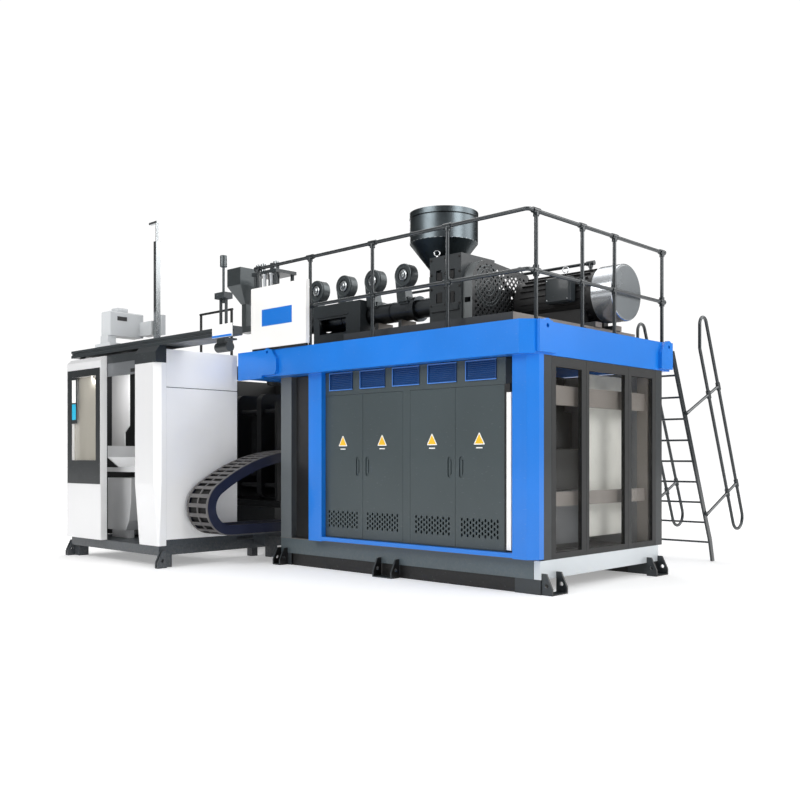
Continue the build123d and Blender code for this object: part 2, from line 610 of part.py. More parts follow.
# Cooling blowers on the barrel: a fan drum with a hub and an air inlet, and a duct down to the barrel
with BuildPart() as blowers:
    for fan_x in BLOWER_X:
        over_cover = COVER_X[0] < fan_x + 60 and fan_x - 60 < COVER_X[1]
        drum_plane = Plane(origin=spot(fan_x, BLOWER_FRONT, BLOWER_Z), x_dir=(1, 0, 0), z_dir=(0, 0, 1))
        with BuildSketch(drum_plane):
            with BuildLine():
                Polyline(
                    (0, -22), (44, -22), (52, -12), (52, 18), (92, 18), (92, 0), (132, 0),
                    (BLOWER_RADIUS, 16), (BLOWER_RADIUS, BLOWER_DEPTH), (0, BLOWER_DEPTH), close=True,
                )
            make_face()
        revolve(axis=Axis(spot(fan_x, 0, BLOWER_Z), (0, 1, 0)))
        duct_bottom = COVER_Z[1] + 8 if over_cover else SCREW_Z + 100
        duct_y = BLOWER_FRONT + BLOWER_DEPTH / 2
        with BuildSketch(Plane.XY.offset(BLOWER_Z - 60)):
            with Locations(spot(fan_x - 70, duct_y)[:2]):
                Rectangle(150, BLOWER_DEPTH - 10)
        with BuildSketch(Plane.XY.offset(duct_bottom)):
            with Locations(spot(fan_x - 25, duct_y + 10)[:2]):
                Rectangle(160, BLOWER_DEPTH + 20)
        loft()
        if over_cover:
            block((fan_x - 175, fan_x + 75), (COVER_Y[0] + 90, COVER_Y[0] + 350), (COVER_Z[1], COVER_Z[1] + 8))
        else:
            shoe_z = (SCREW_Z + 60, SCREW_Z + 160)
            block((fan_x - 115, fan_x + 65), (SCREW_Y - 110, SCREW_Y + 110), shoe_z)
            ends = ((fan_x - 200, SCREW_Y, SCREW_Z), (fan_x + 100, SCREW_Y, SCREW_Z))
            rod(*ends, BAND_RADIUS + WELD_GAP, Mode.SUBTRACT)

# Gearbox: a tall housing with a front plate, sight pockets and a low step towards the belt guard
POCKETS = ((-2100.0, 3610.0), (-1880.0, 3600.0), (-2100.0, 3330.0), (-1880.0, 3320.0))
with BuildPart() as gearbox:
    with BuildSketch(Plane.XY.offset(PLATFORM_TOP)):
        with BuildLine():
            Polyline(
                spot(GEARBOX_LEFT, GEARBOX_FRONT)[:2],
                spot(GEARBOX_RIGHT, GEARBOX_FRONT)[:2],
                spot(GEARBOX_RIGHT, GEARBOX_BACK)[:2],
                spot(-2040, GEARBOX_BACK)[:2],
                spot(-2040, GEARBOX_FRONT + 80)[:2],
                spot(GEARBOX_LEFT, GEARBOX_FRONT + 80)[:2],
                close=True,
            )
        make_face()
    extrude(amount=GEARBOX_TOP - PLATFORM_TOP)
    block((GEARBOX_LEFT, -2040), (SCREW_Y - 200, SCREW_Y + 200), (PLATFORM_TOP, SCREW_Z + 190))
    with BuildSketch(front_plane(GEARBOX_FRONT)):
        with Locations(*POCKETS):
            Rectangle(75, 120)
    extrude(amount=-60, mode=Mode.SUBTRACT)
    with BuildSketch(front_plane(GEARBOX_FRONT)):
        with Locations((-1990, 3190)):
            Rectangle(430, 60)
        with Locations((-1990, 2930)):
            Rectangle(506, 92)
    extrude(amount=26)
    rod((GEARBOX_RIGHT, SCREW_Y, PULLEY_Z), (GEARBOX_RIGHT + BOSS[1], SCREW_Y, PULLEY_Z), BOSS[0])
    throat_bottom = SCREW_Z + BARREL_RADIUS - 30
    block((HOPPER_X - 130, GEARBOX_LEFT - WELD_GAP), (SCREW_Y - 130, SCREW_Y + 130), (throat_bottom, THROAT_TOP))
    barrel_line = ((HOPPER_X - 140, SCREW_Y, SCREW_Z), (GEARBOX_LEFT - WELD_GAP, SCREW_Y, SCREW_Z))
    rod(*barrel_line, BARREL_RADIUS + WELD_GAP, Mode.SUBTRACT)

# Material hopper: a rolled drum and cone with an open top
with BuildPart() as hopper:
    with BuildSketch(Plane(origin=spot(HOPPER_X, SCREW_Y), x_dir=(1, 0, 0), z_dir=(0, -1, 0))):
        with BuildLine():
            Polyline(
                (THROAT_RADIUS, THROAT_TOP), (THROAT_RADIUS + 40, THROAT_TOP),
                (THROAT_RADIUS + 40, THROAT_TOP + 12), (THROAT_RADIUS + 8, THROAT_TOP + 12),
                (HOPPER_RADIUS, HOPPER_SHOULDER), (HOPPER_RADIUS, HOPPER_TOP - 75),
                (HOPPER_RADIUS + 5, HOPPER_TOP - 70), (HOPPER_RADIUS + 5, HOPPER_TOP),
                (HOPPER_RADIUS - HOPPER_SHEET, HOPPER_TOP), (HOPPER_RADIUS - HOPPER_SHEET, HOPPER_SHOULDER),
                (THROAT_RADIUS, THROAT_TOP + 20), close=True,
            )
        make_face()
    revolve(axis=Axis(spot(HOPPER_X, SCREW_Y), (0, 0, 1)))

# Belt guard: a drum at the large pulley that tapers to the motor side, with a perforated front
GUARD_SMALL_TOP = 3700.0
GUARD_RIGHT = 2100.0
guard_radius = PULLEY_RADIUS + 60
HOLE_STEP = 84.0
HOLE_SIZE = 56.0


def guard_outline(inset):
    """Face of the guard's outline on its side plane, drawn inwards by an inset."""
    with BuildSketch(Plane.XY) as outline:
        with Locations((SCREW_Y, PULLEY_Z)):
            Circle(guard_radius - inset)
        with BuildLine():
            Polyline(
                (SCREW_Y - guard_radius + inset, PULLEY_Z), (SCREW_Y - guard_radius + inset, GUARD_BOTTOM + inset),
                (GUARD_RIGHT - inset, GUARD_BOTTOM + inset), (GUARD_RIGHT - inset, GUARD_SMALL_TOP - 120),
                (GUARD_RIGHT - 90, GUARD_SMALL_TOP - inset), (SCREW_Y + 90, PULLEY_Z + guard_radius - 14 - inset),
                (SCREW_Y, PULLEY_Z), close=True,
            )
        make_face()
    return outline.sketch


def inside_guard(across, up):
    """True where a hole lies well inside the guard's perforated face."""
    margin = 52
    if up < GUARD_BOTTOM + margin or across > GUARD_RIGHT - margin or across < SCREW_Y - guard_radius + margin:
        return False
    if up < PULLEY_Z and across < SCREW_Y:
        return True
    if (across - SCREW_Y) ** 2 + (up - PULLEY_Z) ** 2 < (guard_radius - margin) ** 2:
        return True
    slope = (PULLEY_Z + guard_radius - GUARD_SMALL_TOP) / (GUARD_RIGHT - SCREW_Y)
    return across > SCREW_Y and up < PULLEY_Z + guard_radius - slope * (across - SCREW_Y) - margin - 30


guard_holes = []
for row in range(20):
    for column in range(20):
        across = SCREW_Y - guard_radius + 30 + HOLE_STEP * (column + row % 2 / 2)
        up = GUARD_BOTTOM + 55 + row * HOLE_STEP / 2
        if inside_guard(across, up):
            guard_holes.append((across, up))

with BuildPart() as belt_guard:
    extrude(end_plane(GUARD_X[0]) * guard_outline(0), amount=GUARD_X[1] - GUARD_X[0])
    extrude(
        end_plane(GUARD_X[0]) * guard_outline(GUARD_SHEET),
        amount=GUARD_X[1] - GUARD_X[0] - GUARD_SHEET,
        mode=Mode.SUBTRACT,
    )
    with BuildSketch(end_plane(GUARD_X[1])):
        with Locations(*guard_holes):
            Rectangle(HOLE_SIZE * 0.62, HOLE_SIZE * 0.62, rotation=45)
        with Locations((MOTOR_Y, MOTOR_Z)):
            Circle(SHAFT_RADIUS + 6)
    extrude(amount=-GUARD_SHEET, mode=Mode.SUBTRACT)
    rod((GUARD_X[0], SCREW_Y, PULLEY_Z), (GUARD_X[0] + GUARD_SHEET, SCREW_Y, PULLEY_Z), BOSS[0] + 5, Mode.SUBTRACT)
    left_side = SCREW_Y - guard_radius
    block(
        (GUARD_X[0] + 25, GUARD_X[1] - 25), (left_side, left_side + GUARD_SHEET), (3240, 3300), Mode.SUBTRACT
    )

# Pulleys and belt behind the guard
pulley_x = (GUARD_X[0] + 22, GUARD_X[0] + 22 + PULLEY_WIDTH)


def pulley(y, z, radius, bore_x):
    """A grooved belt pulley with a recessed web and its shaft end."""
    web = 18
    with BuildPart() as wheel:
        with BuildSketch(Plane(origin=spot(0, y, z), x_dir=(1, 0, 0), z_dir=(0, -1, 0))):
            with BuildLine():
                Polyline(
                    (pulley_x[0], radius - 40), (pulley_x[0], radius), (pulley_x[1], radius),
                    (pulley_x[1], radius - 30), (pulley_x[1] - web, radius - 36), (pulley_x[1] - web, 62),
                    (pulley_x[1], 56), (pulley_x[1], 0), (bore_x, 0), (bore_x, 45), (pulley_x[0], 45), close=True,
                )
            make_face()
        revolve(axis=Axis(spot(0, y, z), (1, 0, 0)))
    return wheel


large_pulley = pulley(SCREW_Y, PULLEY_Z, PULLEY_RADIUS, GEARBOX_RIGHT + BOSS[1] + WELD_GAP)
motor_pulley = pulley(MOTOR_Y, MOTOR_Z, MOTOR_PULLEY_RADIUS, pulley_x[0] - 1)

with BuildPart() as drive_belt:
    for belt_gap, belt_mode in ((BELT_THICKNESS, Mode.ADD), (0.4, Mode.SUBTRACT)):
        with BuildSketch(end_plane(pulley_x[0] + 6)) as loop:
            with Locations((SCREW_Y, PULLEY_Z)):
                Circle(PULLEY_RADIUS + belt_gap)
            with Locations((MOTOR_Y, MOTOR_Z)):
                Circle(MOTOR_PULLEY_RADIUS + belt_gap)
            make_hull()
        extrude(amount=PULLEY_WIDTH - 12, mode=belt_mode)

# Drive motor with its fan cowl, terminal box and slide rails
with BuildPart() as motor_body:
    rod((MOTOR_X[0], MOTOR_Y, MOTOR_Z), (MOTOR_X[1], MOTOR_Y, MOTOR_Z), MOTOR_RADIUS)
    with BuildSketch(end_plane(MOTOR_X[0] + 90)):
        with Locations((MOTOR_Y, MOTOR_Z)):
            with PolarLocations(MOTOR_RADIUS + FIN_HEIGHT - 15, 24, start_angle=7.5):
                Rectangle(30, 12)
    extrude(amount=MOTOR_X[1] - MOTOR_X[0] - 180)
    shaft_start = pulley_x[1] + 1
    rod((shaft_start, MOTOR_Y, MOTOR_Z), (MOTOR_X[0], MOTOR_Y, MOTOR_Z), SHAFT_RADIUS)
    for near in (MOTOR_Y - 270, MOTOR_Y + 170):
        block((MOTOR_X[0] + 130, MOTOR_X[1] - 130), (near, near + 100), (PLATFORM_TOP + 60 + WELD_GAP, MOTOR_Z - 170))

with BuildPart() as motor_cowl:
    rod((MOTOR_X[1] + WELD_GAP, MOTOR_Y, MOTOR_Z), (COWL_END, MOTOR_Y, MOTOR_Z), COWL_RADIUS)
    fillet(motor_cowl.edges().sort_by(Axis.X)[-1], 26)

with BuildPart() as terminal_box:
    box_y = (MOTOR_Y - MOTOR_RADIUS - 130, MOTOR_Y - MOTOR_RADIUS - 26)
    block((-930, -580), box_y, (3190, 3490))
    fillet(terminal_box.edges().filter_by(Axis.Y), 30)
    chamfer(terminal_box.faces().sort_by(Axis.Y)[0].edges(), 12)
    block((-870, -640), (box_y[1], MOTOR_Y - MOTOR_RADIUS + 35), (3240, 3330))
    rod((-1000, MOTOR_Y, MOTOR_Z), (-500, MOTOR_Y, MOTOR_Z), MOTOR_RADIUS + FIN_HEIGHT + 1, Mode.SUBTRACT)

# Eye bolts on the gearbox, the belt guard and the motor
EYE_RADIUS = 34.0
EYE_SPOTS = ((-2160.0, GEARBOX_FRONT + 40, GEARBOX_TOP, GEARBOX_TOP + 54),
             (-1667.0, 1930.0, GUARD_SMALL_TOP + 9, GUARD_SMALL_TOP + 76),
             (-925.0, MOTOR_Y, MOTOR_Z + MOTOR_RADIUS, MOTOR_Z + MOTOR_RADIUS + 76))
with BuildPart() as eye_bolts:
    for eye_x, eye_y, seat_z, ring_z in EYE_SPOTS:
        rod((eye_x, eye_y, seat_z + WELD_GAP), (eye_x, eye_y, ring_z - EYE_RADIUS + 4), 14)
        with Locations(Plane(origin=spot(eye_x, eye_y, ring_z), z_dir=(0.7, -0.7, 0))):
            Torus(EYE_RADIUS, 8)

# Die head: body over the moulds, nozzle below, cylinders and posts above
with BuildPart() as die_head:
    with BuildSketch(Plane(origin=spot(HEAD_X, SCREW_Y), x_dir=(1, 0, 0), z_dir=(0, -1, 0))):
        with BuildLine():
            Polyline(
                (0, 2480), (95, 2480), (120, 2560), (190, 2600), (190, 2900), (230, 2900), (230, 3020),
                (200, 3040), (200, 3640), (250, 3640), (250, 3700), (0, 3700), close=True,
            )
        make_face()
    revolve(axis=Axis(spot(HEAD_X, SCREW_Y), (0, 0, 1)))
    block((HEAD_X - 310, HEAD_X + 310), (SCREW_Y - 220, SCREW_Y + 220), (3700, 3760))
    for post_x in (HEAD_X - 240, HEAD_X + 240):
        for post_y in (SCREW_Y - 160, SCREW_Y + 160):
            rod((post_x, post_y, 3760), (post_x, post_y, 4140), 28)
    block((HEAD_X - 290, HEAD_X + 290), (SCREW_Y - 200, SCREW_Y + 200), (4140, 4190))
    rod((HEAD_X, SCREW_Y, 3760), (HEAD_X, SCREW_Y, 4140), 85)
    rod((HEAD_X, SCREW_Y, 4190), (HEAD_X, SCREW_Y, 4330), 60)
    for valve_x in (HEAD_X + 150, HEAD_X + 230):
        rod((valve_x, SCREW_Y - 120, 4190), (valve_x, SCREW_Y - 120, 4290), 30)
    block((HEAD_X + 190, HEAD_X + 196), (SCREW_Y - 60, SCREW_Y + 60), (3250, 3370))

# Small regrind hopper beside the head, on its bracket
with BuildPart() as regrind_hopper:
    with BuildSketch(Plane.XY.offset(4060)):
        with Locations(spot(-6450, SCREW_Y)[:2]):
            Rectangle(340, 420)
    extrude(amount=270)
    with BuildSketch(Plane.XY.offset(4060)):
        with Locations(spot(-6450, SCREW_Y)[:2]):
            Rectangle(340, 420)
    with BuildSketch(Plane.XY.offset(3780)):
        with Locations(spot(-6390, SCREW_Y)[:2]):
            Rectangle(110, 150)
    loft()
    offset(amount=-8, openings=regrind_hopper.faces().sort_by(Axis.Z)[-1])
    block((-6445, -6335), (SCREW_Y - 60, SCREW_Y + 60), (3420, 3780))
    block((-6480, HEAD_X - 200 - WELD_GAP), (SCREW_Y - 90, SCREW_Y + 90), (3330, 3420))

# Ladder: two stringers with a vertical foot, and round rungs
ladder_slope = Vector(LADDER_KNEE[0] - LADDER_TOP[0], LADDER_KNEE[1] - LADDER_TOP[1], 0)
slope_length = ladder_slope.length
slope_dir = ladder_slope.normalized()
slope_out = Vector(-slope_dir.Y, slope_dir.X, 0)


def on_slope(distance, out=0.0):
    """(y, z) of a place on the ladder's slope, at a distance from its top and out to the climber's side."""
    place = Vector(LADDER_TOP[0], LADDER_TOP[1], 0) + slope_dir * distance + slope_out * out
    return (place.X, place.Y)


half_stringer = STRINGER[1] / 2
with BuildPart() as ladder:
    for side_x in (LADDER_X[0], LADDER_X[1] - STRINGER[0]):
        with BuildSketch(end_plane(side_x)):
            with BuildLine():
                Polyline(
                    on_slope(0, -half_stringer), on_slope(0, half_stringer), on_slope(slope_length, half_stringer),
                    (LADDER_FOOT_Y + half_stringer, 0), (LADDER_FOOT_Y - half_stringer, 0),
                    on_slope(slope_length, -half_stringer), close=True,
                )
            make_face()
        extrude(amount=STRINGER[0])
    for rung in range(RUNGS):
        rung_y, rung_z = on_slope(FIRST_RUNG + rung * RUNG_PITCH)
        rung_ends = (LADDER_X[0] + STRINGER[0] + WELD_GAP, LADDER_X[1] - STRINGER[0] - WELD_GAP)
        rod((rung_ends[0], rung_y, rung_z), (rung_ends[1], rung_y, rung_z), RUNG_RADIUS)
    for side_x in (LADDER_X[0], LADDER_X[1] - STRINGER[0]):
        arm_y = (BEAM_BACK, LADDER_TOP[0] + 20)
        block((side_x, side_x + STRINGER[0]), arm_y, (LADDER_TOP[1] - 90, LADDER_TOP[1] - 20))

# Handrails: a long closed loop of tube beside each stringer, held off it by two struts
LOOP_OUT = (665.0, 978.0)
LOOP_LOW = 2700.0
LOOP_KINK = 182.0
LOOP_RADIUS = 21.0
TOP_BEND = 103.0
STRUTS = (823.0, 2250.0)
kink_y, kink_z = on_slope(LOOP_KINK, LOOP_OUT[0])
bend_z = kink_z + 310
with BuildPart() as ladder_handrails:
    for side_x in (LADDER_X[0] - 22, LADDER_X[1] + 22):
        low_bend = (LOOP_OUT[1] - LOOP_OUT[0]) / 2
        inner_low = spot(side_x, *on_slope(LOOP_LOW, LOOP_OUT[0]))
        outer_low = spot(side_x, *on_slope(LOOP_LOW, LOOP_OUT[1]))
        lowest = spot(side_x, *on_slope(LOOP_LOW + low_bend, LOOP_OUT[0] + low_bend))
        outer_top = spot(side_x, *on_slope(-60, LOOP_OUT[1]))
        with BuildLine() as loop_line:
            Line(spot(side_x, kink_y, kink_z), inner_low)
            ThreePointArc(inner_low, lowest, outer_low)
            Line(outer_low, outer_top)
            top_middle = spot(side_x, kink_y + TOP_BEND, bend_z + TOP_BEND)
            ThreePointArc(outer_top, top_middle, spot(side_x, kink_y, bend_z))
            Line(spot(side_x, kink_y, bend_z), spot(side_x, kink_y, kink_z))
        loop_wire = loop_line.wire()
        with BuildSketch(Plane(origin=loop_wire @ 0, z_dir=loop_wire % 0)) as section:
            Circle(LOOP_RADIUS)
        sweep(section.sketch, path=loop_wire, transition=Transition.ROUND)
        for strut in STRUTS:
            rod((side_x, *on_slope(strut, 10)), (side_x, *on_slope(strut, LOOP_OUT[1])), 19)
            for clamp_out in LOOP_OUT:
                rod((side_x, *on_slope(strut - 50, clamp_out)), (side_x, *on_slope(strut + 50, clamp_out)), 30)
            rod((side_x, *on_slope(strut, -20)), (side_x, *on_slope(strut, 60)), 22 - WELD_GAP)

# Clamping unit: base ring, legs with lugs, runners for the carriage, floor, and the chain's trough
right_beam_x = (CLAMP_X[1] - CLAMP_BEAM_WIDTH, CLAMP_X[1])
left_beam_x = (CLAMP_X[0], CLAMP_X[0] + CLAMP_BEAM_WIDTH)
inner_y = (CLAMP_FRONT + CLAMP_BEAM_WIDTH + WELD_GAP, CLAMP_BACK - CLAMP_BEAM_WIDTH - WELD_GAP)
TROUGH_Z = CHAIN_BEND[1] - CHAIN_RADIUS - CHAIN_HEIGHT / 2 - WELD_GAP
with BuildPart() as clamp_base:
    for near in (CLAMP_FRONT, CLAMP_BACK - CLAMP_BEAM_WIDTH):
        block(CLAMP_X, (near, near + CLAMP_BEAM_WIDTH), CLAMP_BEAM_Z)
    for beam_x in (left_beam_x, right_beam_x):
        block(beam_x, inner_y, CLAMP_BEAM_Z)
        for leg_y in ((-1320, -1180), (400, 520), (CLAMP_BACK - 140, CLAMP_BACK)):
            block(beam_x, leg_y, (0, CLAMP_BEAM_Z[0] - WELD_GAP))
    for runner in RUNNERS:
        block((runner, runner + 110), (RUNNER_START, inner_y[1]), (CLAMP_BEAM_Z[0], RUNNER_TOP))
        block((runner, runner + 110), (300, 400), (0, CLAMP_BEAM_Z[0] - WELD_GAP))
    floor_x = (left_beam_x[1] + WELD_GAP, right_beam_x[0] - WELD_GAP)
    block(floor_x, (inner_y[0], RUNNER_START - WELD_GAP), (CLAMP_BEAM_Z[1] - 20, CLAMP_BEAM_Z[1]))
    skirt_y = (inner_y[0], PANEL_Y[1])
    block((CLAMP_X[1] - PANEL_SHEET, CLAMP_X[1]), skirt_y, (CLAMP_BEAM_Z[1] + WELD_GAP, PANEL_Z[0] - WELD_GAP))
    lug_pair(CLAMP_X[1] + 71, -1300, FOOT_OUT_FRONT, 49)
    lug_pair(CLAMP_X[0], -1300, FOOT_OUT_FRONT, 54)
    lug_pair(CLAMP_X[1], CLAMP_BACK - 20, FOOT_OUT_BACK, 49)
    lug_pair(CLAMP_X[0] - 76, CLAMP_BACK - 20, FOOT_OUT_BACK, 54)
    trough_y = (CHAIN_BEND[0] + 70, CHAIN_LOWER_END + 20)
    block((CHAIN_X[0] - 10, CHAIN_X[1] + 10), trough_y, (TROUGH_Z - 11, TROUGH_Z))
    block((CLAMP_X[1] + WELD_GAP, CHAIN_X[0] + 200), (100, 160), (200, TROUGH_Z - 11))
    tie_x = (CLAMP_X[1] + WELD_GAP, -BASE_LENGTH - WELD_GAP)
    block(tie_x, (1500, 1620), (160, 260))
    chain_end = (CHAIN_LOWER_END + WELD_GAP, CHAIN_LOWER_END + 18)
    block((CHAIN_X[0] + 30, CHAIN_X[1] - 30), chain_end, (TROUGH_Z, TROUGH_Z + CHAIN_HEIGHT))

# Upright frame of the enclosure, its roof members, the door header, the cap over the column, a riser
# under the guide beam, the low rail on the roof, and dark screens at the far side and the back
COLUMN_BACK = PANEL_Y[0] - 2
CAP_FRONT = CLAMP_FRONT - 45
FRAME_FRONT_Y = -1250.0
FRAME_MEMBER = 90.0
with BuildPart() as clamp_frame:
    frame_back = PANEL_Y[1] - FRAME_MEMBER
    post_z = (CLAMP_BEAM_Z[1] + WELD_GAP, ROOF_Z[0] - WELD_GAP)
    for post_x in (CLAMP_X[0] + WELD_GAP, CLAMP_X[1] - PANEL_SHEET - WELD_GAP - FRAME_MEMBER):
        for post_y in (FRAME_FRONT_Y, frame_back):
            block((post_x, post_x + FRAME_MEMBER), (post_y, post_y + FRAME_MEMBER), post_z)
        side_y = (FRAME_FRONT_Y + FRAME_MEMBER + WELD_GAP, frame_back - WELD_GAP)
        block((post_x, post_x + FRAME_MEMBER), side_y, ROOF_Z)
    roof_x = (CLAMP_X[0] + WELD_GAP, CLAMP_X[1] - PANEL_SHEET - WELD_GAP)
    for near in (FRAME_FRONT_Y, frame_back):
        block(roof_x, (near, near + FRAME_MEMBER), ROOF_Z)
    header_x = (CLAMP_X[0], COLUMN_X[0] - 10 - WELD_GAP)
    block(header_x, (SAFETY_DOOR_Y[1] + WELD_GAP, FRAME_FRONT_Y - WELD_GAP), ROOF_Z)
    riser_z = (ROOF_Z[1] + WELD_GAP, GUIDE_Z[0] - WELD_GAP)
    block((CLAMP_X[0], CLAMP_X[0] + FRAME_MEMBER), (FRAME_FRONT_Y, GUIDE_Y[1]), riser_z)
    with BuildSketch(end_plane(COLUMN_X[0] - 10)):
        with BuildLine():
            Polyline(
                (CAP_FRONT, COLUMN_TOP + WELD_GAP), (COLUMN_BACK, COLUMN_TOP + WELD_GAP),
                (COLUMN_BACK, GUIDE_Z[0] - WELD_GAP), (CAP_FRONT + 60, GUIDE_Z[0] - WELD_GAP),
                (CAP_FRONT, GUIDE_Z[0] - 80), close=True,
            )
        make_face()
    extrude(amount=COLUMN_X[1] - COLUMN_X[0] + 10)
    block((CLAMP_X[0], CLAMP_X[0] + PANEL_SHEET), (PANEL_Y[1] + WELD_GAP, CLAMP_BACK), post_z)
    back_x = (CLAMP_X[0] + PANEL_SHEET + WELD_GAP, CLAMP_X[1] - PANEL_SHEET)
    block(back_x, (CLAMP_BACK - PANEL_SHEET, CLAMP_BACK), post_z)
    rail_y = frame_back + FRAME_MEMBER / 2
    for post_x in ROOF_RAIL_X:
        rod((post_x, rail_y, ROOF_Z[1] + WELD_GAP), (post_x, rail_y, ROOF_RAIL_Z - 16), 18)
    rod((ROOF_RAIL_X[0] - 20, rail_y, ROOF_RAIL_Z), (ROOF_RAIL_X[1] + 20, rail_y, ROOF_RAIL_Z), 16)


def column_section(z, inset, front, bevel):
    """Outline of the column cover at one height."""
    with BuildSketch(Plane.XY.offset(z), mode=Mode.PRIVATE) as outline:
        with BuildLine():
            Polyline(
                spot(COLUMN_X[0] + inset, front)[:2], spot(COLUMN_X[1] - bevel[0], front)[:2],
                spot(COLUMN_X[1], front + bevel[1])[:2], spot(COLUMN_X[1], COLUMN_BACK)[:2],
                spot(COLUMN_X[0] + inset, COLUMN_BACK)[:2], close=True,
            )
        make_face()
    return outline.sketch


# White side panels in two sheets with an open seam between them, the folded cover of the column
# beside the door opening, which tapers at its foot, and the notched panel inside the opening
with BuildPart() as clamp_panels:
    for panel_x in (CLAMP_X[1] - PANEL_SHEET, CLAMP_X[0] - PANEL_SHEET):
        for panel_z in ((PANEL_Z[0], PANEL_SEAM - 5), (PANEL_SEAM + 5, PANEL_Z[1])):
            block((panel_x, panel_x + PANEL_SHEET), PANEL_Y, panel_z)
    upper = column_section(COLUMN_KNEE, 0, CAP_FRONT, (60, 85))
    extrude(upper, amount=COLUMN_TOP - COLUMN_KNEE)
    lower = column_section(CLAMP_BEAM_Z[1] + WELD_GAP, 40, CAP_FRONT + 40, (10, 15))
    loft([lower.face(), upper.face()])
    with BuildSketch(front_plane(-800)):
        with BuildLine():
            Polyline(
                (-6960, 1480), (-6600, 1480), (-6600, 1740), (-6480, 1830), (-6480, ROOF_Z[0] - WELD_GAP),
                (-6960, ROOF_Z[0] - WELD_GAP), close=True,
            )
        make_face()
    extrude(amount=-12)

# Sliding safety door: white leaf with a dark window frame, its glass and a pull bar
door_glass = ((SAFETY_GLASS_X[0] + SAFETY_GLASS_X[1]) / 2, (SAFETY_GLASS_Z[0] + SAFETY_GLASS_Z[1]) / 2)
glass_width = SAFETY_GLASS_X[1] - SAFETY_GLASS_X[0]
glass_height = SAFETY_GLASS_Z[1] - SAFETY_GLASS_Z[0]
with BuildPart() as safety_door:
    block(SAFETY_DOOR_X, SAFETY_DOOR_Y, SAFETY_DOOR_Z)
    chamfer(safety_door.edges().filter_by(Axis.X).sort_by(Axis.Z)[-2:].sort_by(Axis.Y)[0], 60)
    with BuildSketch(front_plane(SAFETY_DOOR_Y[0])):
        with Locations(door_glass):
            Rectangle(glass_width, glass_height)
    extrude(amount=SAFETY_DOOR_Y[0] - SAFETY_DOOR_Y[1], mode=Mode.SUBTRACT)

with BuildPart() as safety_frame:
    with BuildSketch(front_plane(SAFETY_DOOR_Y[0])):
        with Locations((sum(WINDOW_X) / 2, sum(WINDOW_Z) / 2)):
            Rectangle(WINDOW_X[1] - WINDOW_X[0], WINDOW_Z[1] - WINDOW_Z[0])
        with Locations(door_glass):
            Rectangle(glass_width, glass_height, mode=Mode.SUBTRACT)
    extrude(amount=8)

with BuildPart() as safety_glass:
    with BuildSketch(front_plane(sum(SAFETY_DOOR_Y) / 2)):
        with Locations(door_glass):
            Rectangle(glass_width - 2 * WELD_GAP, glass_height - 2 * WELD_GAP)
    extrude(amount=GLASS)

# Inside the opening: the bottle chute on its cross bar, and the scrap bin with a rounded bottom
with BuildPart() as chute:
    with BuildSketch(front_plane(-700)):
        with BuildLine():
            Polyline(
                (-6490, 1545), (-6490, 1380), (-6190, 1246), (-5700, 1246), (-5700, 1258), (-6187, 1258),
                (-6478, 1388), (-6478, 1545), close=True,
            )
        make_face()
    extrude(amount=430)
    bar_x = (CLAMP_X[0] + WELD_GAP, CLAMP_X[1] - PANEL_SHEET - WELD_GAP)
    block(bar_x, (-1130, -1060), (1186, 1246 - WELD_GAP))
    with BuildSketch(front_plane(-500)):
        with BuildLine():
            Polyline(
                (BIN_X[0], 380), (BIN_X[1] - 150, 380), (BIN_X[1] - 60, 520), (BIN_X[1] - 15, 760),
                (BIN_X[1], 1100), (BIN_X[0], 1100), close=True,
            )
        make_face()
    extrude(amount=560)
    for skid_y in (-1000, -640):
        skid_x = (BIN_X[0] + 20, BIN_X[1] - 170)
        block(skid_x, (skid_y, skid_y + 80), (CLAMP_BEAM_Z[1] + WELD_GAP, 380))

# Middle line of the energy chain: a lower run, a tight bend, a long rise and an upper run
chain_turn = radians(CHAIN_TURN)
rise_centre = (
    CHAIN_BEND[0] + (CHAIN_RISE - CHAIN_RADIUS) * sin(chain_turn),
    CHAIN_BEND[1] + (CHAIN_RISE - CHAIN_RADIUS) * cos(chain_turn),
)
lower_run = CHAIN_LOWER_END - CHAIN_BEND[0]
bend_length = chain_turn * CHAIN_RADIUS
rise_start = lower_run + bend_length
rise_length = radians(180 - CHAIN_TURN) * CHAIN_RISE
upper_start = rise_start + rise_length
chain_length = upper_start + CHAIN_UPPER_END - rise_centre[0]
link_count = round(chain_length / CHAIN_PITCH)


def chain_station(distance):
    """(y, z, tilt) of a place on the chain's middle line, counted from its lower end."""
    if distance <= lower_run:
        return (CHAIN_LOWER_END - distance, CHAIN_BEND[1] - CHAIN_RADIUS, 180)
    if distance <= rise_start:
        centre, radius, turned = CHAIN_BEND, CHAIN_RADIUS, (distance - lower_run) / CHAIN_RADIUS
    elif distance < upper_start:
        centre, radius, turned = rise_centre, CHAIN_RISE, chain_turn + (distance - rise_start) / CHAIN_RISE
    else:
        return (rise_centre[0] + distance - upper_start, rise_centre[1] + CHAIN_RISE, 0)
    return (centre[0] - radius * sin(turned), centre[1] - radius * cos(turned), 180 - degrees(turned))


def on_chain(distance):
    """(y, z) of a place on the chain's middle line."""
    return chain_station(distance)[:2]


